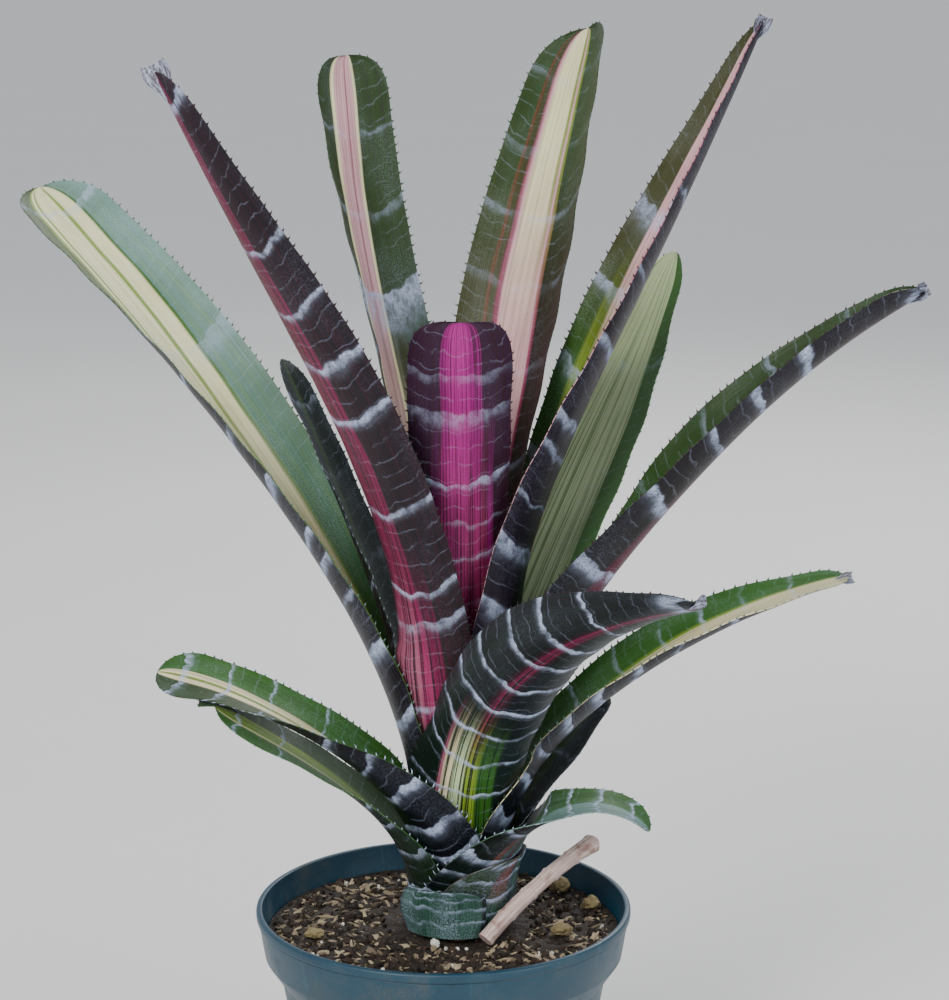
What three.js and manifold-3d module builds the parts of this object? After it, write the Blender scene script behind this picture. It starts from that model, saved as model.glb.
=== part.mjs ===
// A tank bromeliad with banded, striped leaves in a plastic nursery pot.
// Millimetres, +Z up. The origin is the middle of the pot's underside.
import * as THREE from 'three';
import { mergeVertices } from 'three/addons/utils/BufferGeometryUtils.js';
import Module from 'manifold-3d';

// ---------------------------------------------------------------- driving dimensions
// Pot
const POT_HEIGHT = 115;
const RIM_RADIUS = 76;          // outside of the lip
const BAND_TAPER = 3.3;         // the rim band is narrower by this just above its shoulder
const SHOULDER_STEP = 6.7;      // and the body by this again under the shoulder
const BODY_TAPER = 15;          // and by this again at the bottom
const BAND_DEPTH = 19;          // lip to where the shoulder starts
const SHOULDER_DEPTH = 10;      // height of the sloping shoulder
const POT_WALL = 1.6;
const POT_FLOOR = 2.4;
const LIP_HEIGHT = 4;
const LIP_PROUD = 0.9;          // how far the lip stands out of the band
const DRAIN_HOLES = 8;
const DRAIN_RADIUS = 5;
const DRAIN_FROM_EDGE = 13;     // hole centres in from the edge of the base
const BASE_EDGE = 2;            // bevel round the base
const LIP_EDGE = 0.5;           // and round the top of the lip
const ROUND_STEPS = 48;
const DRILL_STEPS = 16;

// Soil
const HEADSPACE = 11;           // lip down to the soil
const CLEARANCE = 0.3;          // free gap between pieces that touch
const WALL_CLEARANCE = 0.6;     // and between the soil and the pot's wall
const SOIL_RISE = 1.2;          // the soil is a little higher at the plant

// Plant
const PLANT_X = 6;              // the rosette stands a little off the pot's middle
const PLANT_Y = 6;
const HEART_RADIUS = 4.5;       // sheath radius of the innermost leaf
const SHEATH_STEP = 1.15;       // each further leaf starts this much further out
const LOWEST_FOOT = 2.5;        // outermost sheath's foot above the soil
const FOOT_STEP = 2;            // each further leaf inwards starts this much higher
const LEAF_THICKNESS = 0.75;
const LEAF_GAP = 0.75;          // least free space between two leaves, measured outwards
const SHEATH_WRAP = 200;        // degrees of the stem that a leaf's foot goes round
const STEM_ROOT = 25;           // depth of the stem in the soil
const ROOT_SHARE = 0.6;         // the stem's root end is this share as wide as its widest
const STEM_TIP = 2;             // the stem ends this far above the innermost foot
const STEM_TIP_SHARE = 0.7;     // and narrows to this share there
const STEM_STEPS = 24;
const POINT_WIDTH = 2;          // width of a leaf at its very end
const TIP_SQUARE = 2;           // 2 is a round tip, and above it the tip is squarer
const LEAST_CURL = 2;           // degrees of arc that the flattest leaf keeps

// Leaf mesh
const RING_SPACING = 16;
const FEWEST_RINGS = 11;
const RING_CROWDING = 1.25;     // above 1 sets the rings closer together towards the foot
const RINGS_IN_TIP = 3;
const FEWEST_STRIPS = 12;       // flat strips across a leaf
const STRIP_WRAP = 17;          // the most of the wrap, in degrees, that one strip takes

// Stolon stub: the cut end of a runner, which leaves the stem beside the front sheath
const STUB_RADIUS = 3.6;
const STUB_END_RADIUS = 4.6;
const STUB_HEADING = -70;       // degrees round the plant where it comes out of the soil
const STUB_CLEAR = 0.8;         // free soil between the sheaths and its foot
const STUB_RUN = 44;            // how far it reaches to the right
const STUB_BACK = 33;           // how far it reaches back
const STUB_RISE = 29;
const STUB_BOW = 6;             // how far its middle bows up
const STUB_STEPS = 8;
const STUB_FLARE_STEPS = 2;     // steps over which it swells to its end
const STUB_SIDES = 12;

// Loose pieces on the soil. heading is in degrees round the pot, and fromWall is the free soil
// between the piece and the wall; a piece with fromPlant lies that far from the sheaths instead.
const LOOSE_PIECES = [
  { name: 'perlite_grain_1', heading: -107, fromPlant: 0.8, radius: 2.4, flat: 0.85, color: 0xe6e4dc },
  { name: 'perlite_grain_2', heading: -106, fromWall: 2, radius: 2.6, flat: 0.9, color: 0xe6e4dc },
  { name: 'perlite_grain_3', heading: -77, fromWall: 1.5, radius: 2.2, flat: 0.9, color: 0xe6e4dc },
  { name: 'bark_chunk_1', heading: 39, fromWall: 4, radius: 5.2, flat: 0.75, color: 0x8a7b4a },
  { name: 'bark_chunk_2', heading: 18, fromWall: 3, radius: 4.6, flat: 0.7, color: 0x7d6d40 },
  { name: 'bark_chunk_3', heading: -11, fromWall: 18, radius: 4.8, flat: 0.55, color: 0xa08a4c },
  { name: 'bark_chunk_4', heading: 193, fromWall: 14, radius: 4.2, flat: 0.5, color: 0x6e5638 },
];
const CHUNK_DETAIL = 1;
const CHUNK_NARROW = 0.8;       // width of a loose piece as a share of its length

// ---------------------------------------------------------------- leaves
// From the heart outwards. heading is the compass direction the leaf grows in (0 is +X, 90 is
// +Y), lean is its angle from upright, both in degrees at four even stops from foot to tip.
// width (mm), curl (degrees of arc across the leaf) and twist (degrees) are given at the three
// stops after the foot, where the wrap round the stem sets them. blunt is the share of the
// length that rounds off the tip. wrap is given where a foot clasps less than SHEATH_WRAP, and
// square where a tip is squarer than TIP_SQUARE.
const LEAF_COLORS = { red: 0x4a2638, pale: 0xa9a67c, green: 0x45603a, old: 0x5f7268 };
const LEAVES = [
  { name: 'leaf_heart', kind: 'red', length: 220, blunt: 0.12, square: 3.6,
    heading: [-75, -85, -92, -92], lean: [0, 6, 10, 12],
    width: [41, 42, 42], curl: [90, 70, 50], twist: [8, 14, 5] },
  { name: 'leaf_back_tall', kind: 'pale', length: 346, blunt: 0.08, square: 2.6,
    heading: [60, 60, 62, 66], lean: [0, 15, 24, 34],
    width: [48, 60, 46], curl: [110, 90, 70], twist: [-15, -15, -30] },
  { name: 'leaf_back_left', kind: 'pale', length: 328, blunt: 0.07, square: 3.2,
    heading: [110, 120, 125, 120], lean: [0, 17, 21, 6],
    width: [40, 43, 36], curl: [110, 90, 30], twist: [18, 20, 8] },
  { name: 'leaf_right_tall', kind: 'red', length: 356, blunt: 0.05,
    heading: [10, 11, 14, 16], lean: [0, 17, 26, 25],
    width: [55, 50, 14], curl: [120, 112, 120], twist: [-18, 0, 0] },
  { name: 'leaf_left_tall', kind: 'red', length: 345, blunt: 0.05,
    heading: [220, 210, 205, 200], lean: [0, 15, 29, 26],
    width: [52, 49, 15], curl: [100, 100, 140], twist: [5, 10, 5] },
  { name: 'leaf_back_right', kind: 'pale', length: 272, blunt: 0.06,
    heading: [48, 48, 46, 44], lean: [0, 30, 35, 28],
    width: [52, 52, 18], curl: [90, 60, 60], twist: [0, 0, 0] },
  { name: 'leaf_back_short', kind: 'green', length: 220, blunt: 0.06,
    heading: [144, 142, 140, 135], lean: [0, 21, 28, 36],
    width: [44, 32, 14], curl: [90, 60, 50], twist: [25, 25, 10] },
  { name: 'leaf_right_arching', kind: 'red', length: 305, blunt: 0.06,
    heading: [-10, -10, -6, -8], lean: [0, 31, 42, 59],
    width: [56, 52, 28], curl: [120, 130, 130], twist: [-15, 5, -5] },
  { name: 'leaf_left_arching', kind: 'pale', length: 350, blunt: 0.06,
    heading: [165, 155, 145, 135], lean: [0, 32, 46, 60],
    width: [55, 56, 38], curl: [125, 105, 55], twist: [10, 0, -15] },
  { name: 'leaf_front', kind: 'red', length: 225, blunt: 0.06,
    heading: [-90, -68, -50, -32], lean: [0, 35, 58, 76],
    width: [50, 44, 24], curl: [130, 125, 55], twist: [-40, -42, -20] },
  { name: 'leaf_right_low', kind: 'pale', length: 205, blunt: 0.05, wrap: 160,
    heading: [0, 6, 8, 10], lean: [0, 42, 62, 78],
    width: [44, 38, 12], curl: [110, 100, 50], twist: [-5, 5, 12] },
  { name: 'leaf_left_low', kind: 'green', length: 158, blunt: 0.1,
    heading: [225, 186, 170, 166], lean: [0, 41, 63, 84],
    width: [52, 34, 26], curl: [140, 75, 25], twist: [10, -5, -30] },
  { name: 'leaf_right_short', kind: 'green', length: 94, blunt: 0.08,
    heading: [18, 20, 24, 28], lean: [0, 28, 42, 50],
    width: [35, 26, 10], curl: [100, 65, 45], twist: [2, 10, 10] },
  { name: 'leaf_left_short', kind: 'green', length: 125, blunt: 0.1, wrap: 150,
    heading: [196, 194, 194, 192], lean: [0, 38, 54, 56],
    width: [38, 30, 24], curl: [80, 30, 20], twist: [-5, -12, -22] },
  { name: 'leaf_right_hooked', kind: 'green', length: 97, blunt: 0.1,
    heading: [-45, -18, -6, -8], lean: [0, 32, 76, 140],
    width: [50, 28, 16], curl: [130, 40, 75], twist: [0, 5, 5] },
  { name: 'old_sheath_right', kind: 'old', length: 30, blunt: 0.35, square: 2.6,
    heading: [-38, -34, -30, -26], lean: [0, 5, 6, 8],
    width: [64, 52, 38], curl: [150, 120, 90], twist: [0, 0, 0] },
  { name: 'old_sheath_front', kind: 'old', length: 21, blunt: 0.25, square: 3, wrap: 70,
    heading: [-106, -106, -106, -106], lean: [4, 8, 2, -8],
    width: [33, 34, 32], curl: [95, 105, 100], twist: [0, 0, 0] },
];

// ---------------------------------------------------------------- helpers
const soilTop = POT_HEIGHT - HEADSPACE;
const rad = THREE.MathUtils.degToRad;
const model = new THREE.Group();

function add(name, geometry, color, roughness) {
  const material = new THREE.MeshStandardMaterial({ color, roughness, metalness: 0 });
  const mesh = new THREE.Mesh(geometry, material);
  mesh.name = name;
  model.add(mesh);
  return mesh;
}

// Smooth value at share s (0 to 1) through evenly spaced stops.
function along(stops, s) {
  const last = stops.length - 1;
  const x = THREE.MathUtils.clamp(s, 0, 1) * last;
  const i = Math.min(Math.floor(x), last - 1);
  const f = x - i;
  const b = stops[i];
  const c = stops[i + 1];
  const a = i > 0 ? stops[i - 1] : 2 * b - c;
  const d = i + 2 <= last ? stops[i + 2] : 2 * c - b;
  return 0.5 * (2 * b + (c - a) * f + (2 * a - 5 * b + 4 * c - d) * f * f
    + (3 * b - a - 3 * c + d) * f * f * f);
}

// Closed mesh from rings of equal length, each ring a closed loop; both ends are closed with
// strips, so a ring is two rows of points that face each other.
function closedFromRings(rings) {
  const size = rings[0].length;
  const half = size / 2;
  const positions = rings.flat().flatMap((p) => [p.x, p.y, p.z]);
  const index = [];
  for (let i = 0; i < rings.length - 1; i += 1) {
    for (let j = 0; j < size; j += 1) {
      const a = i * size + j;
      const b = i * size + ((j + 1) % size);
      index.push(a, b, b + size, a, b + size, a + size);
    }
  }
  const top = (rings.length - 1) * size;
  for (let j = 0; j < half - 1; j += 1) {
    const a = j;
    const b = j + 1;
    const c = size - 2 - j;
    const d = size - 1 - j;
    index.push(a, c, b, a, d, c);
    index.push(top + a, top + b, top + c, top + a, top + c, top + d);
  }
  const geometry = new THREE.BufferGeometry();
  geometry.setAttribute('position', new THREE.Float32BufferAttribute(positions, 3));
  geometry.setIndex(index);
  return geometry;
}

const wasm = await Module();
wasm.setup();

// Joins equal vertices, so that only the position is left and the mesh is closed.
function welded(geometry) {
  const bare = geometry.clone();
  bare.deleteAttribute('normal');
  bare.deleteAttribute('uv');
  return mergeVertices(bare, 1e-4);
}

function toSolid(geometry) {
  const merged = welded(geometry);
  return new wasm.Manifold(new wasm.Mesh({
    numProp: 3,
    vertProperties: new Float32Array(merged.attributes.position.array),
    triVerts: new Uint32Array(merged.index.array),
  }));
}

function toGeometry(solid) {
  const mesh = solid.getMesh();
  const geometry = new THREE.BufferGeometry();
  geometry.setAttribute('position', new THREE.BufferAttribute(mesh.vertProperties, 3));
  geometry.setIndex(new THREE.BufferAttribute(mesh.triVerts, 1));
  return geometry;
}

// Solid of revolution about +Z from [radius, height] pairs, anticlockwise from the axis.
function turned(profile, steps = ROUND_STEPS) {
  const points = profile.map(([radius, height]) => new THREE.Vector2(radius, height));
  return new THREE.LatheGeometry(points, steps).rotateX(Math.PI / 2);
}

// ---------------------------------------------------------------- pot
const bandRadius = RIM_RADIUS - BAND_TAPER;
const bodyTopRadius = bandRadius - SHOULDER_STEP;
const baseRadius = bodyTopRadius - BODY_TAPER;
const drainCircle = baseRadius - DRAIN_FROM_EDGE;
const bandTop = POT_HEIGHT - LIP_HEIGHT;
const bandBottom = POT_HEIGHT - BAND_DEPTH;
const bodyTop = bandBottom - SHOULDER_DEPTH;
const lipInside = RIM_RADIUS - LIP_PROUD - POT_WALL;

function pot() {
  const shell = toSolid(turned([
    [0, 0],
    [baseRadius - BASE_EDGE, 0],
    [baseRadius, BASE_EDGE],
    [bodyTopRadius, bodyTop],
    [bandRadius, bandBottom],
    [RIM_RADIUS - LIP_PROUD, bandTop],
    [RIM_RADIUS, bandTop],
    [RIM_RADIUS, POT_HEIGHT - LIP_EDGE],
    [RIM_RADIUS - LIP_EDGE, POT_HEIGHT],
    [lipInside, POT_HEIGHT],
    [bandRadius - POT_WALL, bandBottom],
    [bodyTopRadius - POT_WALL, bodyTop],
    [baseRadius - POT_WALL, POT_FLOOR],
    [0, POT_FLOOR],
  ]));
  let drained = shell;
  for (let k = 0; k < DRAIN_HOLES; k += 1) {
    const angle = (k + 0.5) / DRAIN_HOLES * 2 * Math.PI;
    const drill = new THREE.CylinderGeometry(DRAIN_RADIUS, DRAIN_RADIUS, 4 * POT_FLOOR, DRILL_STEPS)
      .rotateX(Math.PI / 2)
      .translate(drainCircle * Math.cos(angle), drainCircle * Math.sin(angle), 0);
    drained = drained.subtract(toSolid(drill));
  }
  add('pot', toGeometry(drained), 0x0f4a52, 0.5);
}
pot();

// ---------------------------------------------------------------- stem and soil
// The stem is a cone inside the feet of all the sheaths, with its root end in the soil.
const layerRadius = (index) => HEART_RADIUS + index * SHEATH_STEP;
const footHeight = (index) => soilTop + SOIL_RISE + LOWEST_FOOT
  + (LEAVES.length - 1 - index) * FOOT_STEP;
const stemRadius = (index) => layerRadius(index) * Math.cos(rad(STRIP_WRAP) / 2)
  - LEAF_THICKNESS / 2 - CLEARANCE;
const outermost = LEAVES.length - 1;
const stemTop = footHeight(0) + STEM_TIP;
const rootRadius = stemRadius(outermost) * ROOT_SHARE;

function stemProfile(extra) {
  return [
    [0, soilTop - STEM_ROOT - extra],
    [rootRadius + extra, soilTop - STEM_ROOT - extra],
    [stemRadius(outermost) + extra, footHeight(outermost)],
    [stemRadius(0) + extra, footHeight(0)],
    [stemRadius(0) * STEM_TIP_SHARE + extra, stemTop + extra],
    [0, stemTop + extra],
  ];
}

function stem() {
  const geometry = turned(stemProfile(0), STEM_STEPS).translate(PLANT_X, PLANT_Y, 0);
  add('stem', welded(geometry), 0x7a6a4a, 0.8);
}
stem();

const soilEdge = THREE.MathUtils.mapLinear(
  soilTop, bandBottom, POT_HEIGHT, bandRadius - POT_WALL, lipInside) - WALL_CLEARANCE;
const soilHeight = (x, y) => soilTop + SOIL_RISE * (1 - Math.hypot(x, y) / soilEdge);

function soil() {
  const block = toSolid(turned([
    [0, POT_FLOOR + CLEARANCE],
    [baseRadius - POT_WALL - WALL_CLEARANCE, POT_FLOOR + CLEARANCE],
    [bodyTopRadius - POT_WALL - WALL_CLEARANCE, bodyTop],
    [bandRadius - POT_WALL - WALL_CLEARANCE, bandBottom],
    [soilEdge, soilTop],
    [0, soilTop + SOIL_RISE],
  ]));
  const socket = toSolid(turned(stemProfile(CLEARANCE), STEM_STEPS).translate(PLANT_X, PLANT_Y, 0));
  add('soil', toGeometry(block.subtract(socket)), 0x2e241b, 0.95);
}
soil();

// ---------------------------------------------------------------- leaf surface
const MIDRIB_STEPS = 96;
const PUSH_ACROSS = 16;

// Midrib points with the tangent, the sideways direction and the direction to the upper side.
function midrib(leaf) {
  const frames = [];
  const heading0 = rad(leaf.heading[0]);
  const point = new THREE.Vector3(
    PLANT_X + leaf.radius * Math.cos(heading0),
    PLANT_Y + leaf.radius * Math.sin(heading0),
    leaf.foot,
  );
  const twists = [0, ...leaf.twist];
  const direction = (s) => {
    const lean = rad(along(leaf.lean, s));
    const heading = rad(along(leaf.heading, s));
    return new THREE.Vector3(
      Math.sin(lean) * Math.cos(heading),
      Math.sin(lean) * Math.sin(heading),
      Math.cos(lean),
    );
  };
  for (let k = 0; k <= MIDRIB_STEPS; k += 1) {
    const s = k / MIDRIB_STEPS;
    if (k > 0) {
      point.addScaledVector(direction(s - 0.5 / MIDRIB_STEPS), leaf.length / MIDRIB_STEPS);
    }
    const tangent = direction(s);
    const heading = rad(along(leaf.heading, s));
    const level = new THREE.Vector3(-Math.sin(heading), Math.cos(heading), 0);
    const upper = tangent.clone().cross(level).normalize();
    const side = upper.clone().cross(tangent);
    const twist = rad(along(twists, s));
    frames.push({
      point: point.clone(),
      side: side.clone().multiplyScalar(Math.cos(twist)).addScaledVector(upper, Math.sin(twist)),
      upper: upper.multiplyScalar(Math.cos(twist)).addScaledVector(side, -Math.sin(twist)),
    });
  }
  return frames;
}

function widthAt(leaf, s) {
  const wrapWidth = rad(leaf.wrap) * leaf.radius;
  const full = along([wrapWidth, ...leaf.width], s);
  const e = THREE.MathUtils.clamp((1 - s) / leaf.blunt, 0, 1);
  return Math.max(full * (1 - (1 - e) ** leaf.square) ** (1 / leaf.square), POINT_WIDTH);
}

// Point on the leaf's middle surface at s along and u (-1 to 1) across, before neighbours
// push it, with the normal to its upper side.
function bareSurface(leaf, s, u) {
  const x = THREE.MathUtils.clamp(s, 0, 1) * MIDRIB_STEPS;
  const k = Math.min(Math.floor(x), MIDRIB_STEPS - 1);
  const f = x - k;
  const mix = (key) => leaf.frames[k][key].clone().lerp(leaf.frames[k + 1][key], f);
  const side = mix('side').normalize();
  const upper = mix('upper').normalize();
  const curl = rad(Math.max(along([leaf.wrap, ...leaf.curl], s), LEAST_CURL));
  const radius = widthAt(leaf, s) / curl;
  const angle = u * curl / 2;
  const point = mix('point')
    .addScaledVector(side, radius * Math.sin(angle))
    .addScaledVector(upper, radius * (1 - Math.cos(angle)));
  const normal = upper.multiplyScalar(Math.cos(angle)).addScaledVector(side, -Math.sin(angle));
  return { point, normal };
}

// ---------------------------------------------------------------- nesting of the leaves
// shelf keeps, for each direction round the plant and each height, how far out the leaves
// placed so far reach. The next leaf outwards is pushed clear of it, as sheaths push each other.
const SECTORS = 90;
const TIER = 2;
const TIERS = 200;
const SMOOTHING_ROUNDS = 24;
const EDGE_MARGIN = 1.2;        // a leaf keeps its neighbours this far past its own edges
const REACH_SECTORS = 2;        // sectors to each side that count as near a direction
const LEAST_WEIGHT = 0.02;      // cells that count for less say nothing about a point
const FILL_ALONG = 3 * MIDRIB_STEPS;
const FILL_ACROSS = 4 * PUSH_ACROSS;
const shelf = new Float32Array(SECTORS * TIERS);

function polar(point) {
  const dx = point.x - PLANT_X;
  const dy = point.y - PLANT_Y;
  return {
    sector: (Math.atan2(dy, dx) / (2 * Math.PI) + 1) * SECTORS,
    tier: (point.z - soilTop) / TIER,
    reach: Math.hypot(dx, dy),
  };
}

const shelfCell = (sector, tier) => (sector % SECTORS) * TIERS + tier;

function shelfReach({ sector, tier }) {
  const i = Math.floor(sector - 0.5);
  const k = Math.floor(tier - 0.5);
  const fi = sector - 0.5 - i;
  const fk = tier - 0.5 - k;
  let total = 0;
  let weights = 0;
  for (const [di, dk, weight] of [[0, 0, (1 - fi) * (1 - fk)], [1, 0, fi * (1 - fk)],
    [0, 1, (1 - fi) * fk], [1, 1, fi * fk]]) {
    const inside = k + dk >= 0 && k + dk < TIERS;
    const reach = inside ? shelf[shelfCell(i + di + SECTORS, k + dk)] : 0;
    if (reach > 0) {
      total += reach * weight;
      weights += weight;
    }
  }
  return weights > LEAST_WEIGHT ? total / weights : 0;
}

// How far each point of the leaf has to move outwards, smoothed so that the leaf stays fair.
function pushField(leaf) {
  const rows = MIDRIB_STEPS + 1;
  const columns = PUSH_ACROSS + 1;
  const need = new Float32Array(rows * columns);
  for (let i = 0; i < rows; i += 1) {
    for (let j = 0; j < columns; j += 1) {
      const place = polar(bareSurface(leaf, i / MIDRIB_STEPS, (2 * j) / PUSH_ACROSS - 1).point);
      const least = shelfReach(place);
      if (least > 0) {
        need[i * columns + j] = Math.max(0, least + LEAF_GAP + LEAF_THICKNESS - place.reach);
      }
    }
  }
  let push = need.slice();
  for (let round = 0; round < SMOOTHING_ROUNDS; round += 1) {
    const next = new Float32Array(push.length);
    for (let i = 0; i < rows; i += 1) {
      for (let j = 0; j < columns; j += 1) {
        const at = (a, b) => push[THREE.MathUtils.clamp(a, 0, rows - 1) * columns
          + THREE.MathUtils.clamp(b, 0, columns - 1)];
        const mean = (at(i - 1, j) + at(i + 1, j) + at(i, j - 1) + at(i, j + 1)) / 4;
        next[i * columns + j] = Math.max(need[i * columns + j], mean);
      }
    }
    push = next;
  }
  return push;
}

function surface(leaf, s, u) {
  const { point, normal } = bareSurface(leaf, s, u);
  const columns = PUSH_ACROSS + 1;
  const x = THREE.MathUtils.clamp(s, 0, 1) * MIDRIB_STEPS;
  const y = THREE.MathUtils.clamp((u + 1) / 2, 0, 1) * PUSH_ACROSS;
  const i = Math.min(Math.floor(x), MIDRIB_STEPS - 1);
  const j = Math.min(Math.floor(y), PUSH_ACROSS - 1);
  const { lerp } = THREE.MathUtils;
  const push = lerp(
    lerp(leaf.push[i * columns + j], leaf.push[i * columns + j + 1], y - j),
    lerp(leaf.push[(i + 1) * columns + j], leaf.push[(i + 1) * columns + j + 1], y - j),
    x - i,
  );
  const out = new THREE.Vector3(point.x - PLANT_X, point.y - PLANT_Y, 0).normalize();
  return { point: point.addScaledVector(out, push), normal };
}

function fillShelf(leaf) {
  for (let i = 0; i <= FILL_ALONG; i += 1) {
    for (let j = 0; j <= FILL_ACROSS; j += 1) {
      const u = ((2 * j) / FILL_ACROSS - 1) * EDGE_MARGIN;
      const { point } = surface(leaf, i / FILL_ALONG, u);
      const { sector, tier, reach } = polar(point);
      const row = Math.floor(tier);
      if (row >= 0 && row < TIERS) {
        const cell = shelfCell(Math.floor(sector), row);
        shelf[cell] = Math.max(shelf[cell], reach);
      }
    }
  }
}

// ---------------------------------------------------------------- leaf solid
function leafGeometry(leaf) {
  const stops = [];
  const ringsAlong = Math.max(FEWEST_RINGS, Math.round(leaf.length / RING_SPACING));
  for (let k = 0; k < ringsAlong; k += 1) {
    stops.push((1 - leaf.blunt) * (k / ringsAlong) ** RING_CROWDING);
  }
  for (let k = 0; k <= RINGS_IN_TIP; k += 1) {
    stops.push(1 - leaf.blunt * (1 - Math.sin(k / RINGS_IN_TIP * Math.PI / 2)));
  }
  const strips = Math.max(FEWEST_STRIPS, Math.ceil(leaf.wrap / STRIP_WRAP));
  const rings = stops.map((s) => {
    const outer = [];
    const inner = [];
    for (let j = 0; j <= strips; j += 1) {
      const { point, normal } = surface(leaf, s, (2 * j) / strips - 1);
      outer.push(point.clone().addScaledVector(normal, -LEAF_THICKNESS / 2));
      inner.unshift(point.clone().addScaledVector(normal, LEAF_THICKNESS / 2));
    }
    return [...outer, ...inner];
  });
  return closedFromRings(rings);
}

LEAVES.forEach((leaf, index) => {
  leaf.wrap ??= SHEATH_WRAP;
  leaf.square ??= TIP_SQUARE;
  leaf.radius = layerRadius(index);
  leaf.foot = footHeight(index);
  leaf.frames = midrib(leaf);
  leaf.push = pushField(leaf);
  fillShelf(leaf);
  add(leaf.name, leafGeometry(leaf), LEAF_COLORS[leaf.kind], 0.55);
});

// ---------------------------------------------------------------- on the soil round the sheaths
// How far out the sheaths reach below the pot's lip, near one direction round the plant.
function sheathReach(heading) {
  const middle = Math.round((heading / 360 + 1) * SECTORS);
  const tiers = Math.ceil(HEADSPACE / TIER);
  let reach = 0;
  for (let sector = middle - REACH_SECTORS; sector <= middle + REACH_SECTORS; sector += 1) {
    for (let tier = 0; tier < tiers; tier += 1) {
      reach = Math.max(reach, shelf[shelfCell(sector + SECTORS, tier)]);
    }
  }
  return reach;
}

function loosePiece({ name, heading, fromWall, fromPlant, radius, flat, color }) {
  const byPlant = fromPlant !== undefined;
  const distance = byPlant
    ? sheathReach(heading) + fromPlant + radius
    : soilEdge - fromWall - radius;
  const x = distance * Math.cos(rad(heading)) + (byPlant ? PLANT_X : 0);
  const y = distance * Math.sin(rad(heading)) + (byPlant ? PLANT_Y : 0);
  const geometry = welded(new THREE.IcosahedronGeometry(radius, CHUNK_DETAIL));
  geometry.scale(1, CHUNK_NARROW, flat);
  geometry.rotateZ(rad(heading));
  add(name, geometry, color, 0.9).position.set(x, y, soilHeight(x, y) + radius * flat + CLEARANCE);
}
LOOSE_PIECES.forEach(loosePiece);

// ---------------------------------------------------------------- stolon stub
function stolonStub() {
  const heading = rad(STUB_HEADING);
  const fromPlant = sheathReach(STUB_HEADING) + STUB_CLEAR + STUB_RADIUS;
  const startX = PLANT_X + fromPlant * Math.cos(heading);
  const startY = PLANT_Y + fromPlant * Math.sin(heading);
  const startZ = soilHeight(startX, startY) + STUB_RADIUS + CLEARANCE;
  const curve = new THREE.QuadraticBezierCurve3(
    new THREE.Vector3(startX, startY, startZ),
    new THREE.Vector3(startX + STUB_RUN / 2, startY + STUB_BACK / 2,
      startZ + STUB_RISE / 2 + STUB_BOW),
    new THREE.Vector3(startX + STUB_RUN, startY + STUB_BACK, startZ + STUB_RISE),
  );
  const frames = curve.computeFrenetFrames(STUB_STEPS, false);
  const rings = [];
  for (let k = 0; k <= STUB_STEPS; k += 1) {
    const swell = THREE.MathUtils.smoothstep(k, STUB_STEPS - STUB_FLARE_STEPS, STUB_STEPS);
    const radius = THREE.MathUtils.lerp(STUB_RADIUS, STUB_END_RADIUS, swell);
    const ring = [];
    for (let j = 0; j < STUB_SIDES; j += 1) {
      const angle = j / STUB_SIDES * 2 * Math.PI;
      ring.push(curve.getPointAt(k / STUB_STEPS)
        .addScaledVector(frames.normals[k], radius * Math.cos(angle))
        .addScaledVector(frames.binormals[k], radius * Math.sin(angle)));
    }
    rings.push(ring);
  }
  add('stolon_stub', closedFromRings(rings), 0xc9a9a0, 0.8);
}
stolonStub();

export default model;
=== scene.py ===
"""Looks of a potted tank bromeliad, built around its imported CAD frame.

Metres, +Z up, the front towards -Y. The leaves follow the same rule as the CAD, from the same
few stops, with far more points, toothed edges, and a material of their own on each side.
"""
import math
import random
from collections import namedtuple

import bmesh
import bpy
import numpy as np
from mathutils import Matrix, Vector, noise


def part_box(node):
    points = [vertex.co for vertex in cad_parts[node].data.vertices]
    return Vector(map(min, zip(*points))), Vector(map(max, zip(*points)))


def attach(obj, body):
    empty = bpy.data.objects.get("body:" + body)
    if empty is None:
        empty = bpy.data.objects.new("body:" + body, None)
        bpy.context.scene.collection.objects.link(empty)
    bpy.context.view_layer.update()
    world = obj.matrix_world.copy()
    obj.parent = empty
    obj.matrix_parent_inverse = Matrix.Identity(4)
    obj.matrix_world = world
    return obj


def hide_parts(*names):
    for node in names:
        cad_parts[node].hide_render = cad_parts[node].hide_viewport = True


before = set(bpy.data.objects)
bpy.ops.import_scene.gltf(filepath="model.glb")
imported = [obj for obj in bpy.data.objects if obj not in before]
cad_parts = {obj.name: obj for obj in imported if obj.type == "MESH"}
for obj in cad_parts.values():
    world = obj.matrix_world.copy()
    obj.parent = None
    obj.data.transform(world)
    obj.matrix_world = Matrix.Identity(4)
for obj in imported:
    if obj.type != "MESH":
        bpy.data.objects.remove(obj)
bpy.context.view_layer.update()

MM = 0.001

# ---------------------------------------------------------------- sizes, in mm, as in the CAD
POT_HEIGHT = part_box("pot")[1].z / MM
RIM_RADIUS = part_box("pot")[1].x / MM
BAND_TAPER = 3.3
SHOULDER_STEP = 6.7
BODY_TAPER = 15
BAND_DEPTH = 19
SHOULDER_DEPTH = 10
POT_WALL = 1.6
POT_FLOOR = 2.4
LIP_HEIGHT = 4
LIP_PROUD = 0.9
DRAIN_HOLES = 8
DRAIN_RADIUS = 5
DRAIN_FROM_EDGE = 13

HEADSPACE = 11
CLEARANCE = 0.3
WALL_CLEARANCE = 0.6
SOIL_RISE = 1.2

PLANT_X = 6
PLANT_Y = 6
HEART_RADIUS = 4.5
SHEATH_STEP = 1.15
LOWEST_FOOT = 2.5
FOOT_STEP = 2
LEAF_THICKNESS = 0.75
LEAF_GAP = 0.75
SHEATH_WRAP = 200
POINT_WIDTH = 2
TIP_SQUARE = 2

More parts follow.
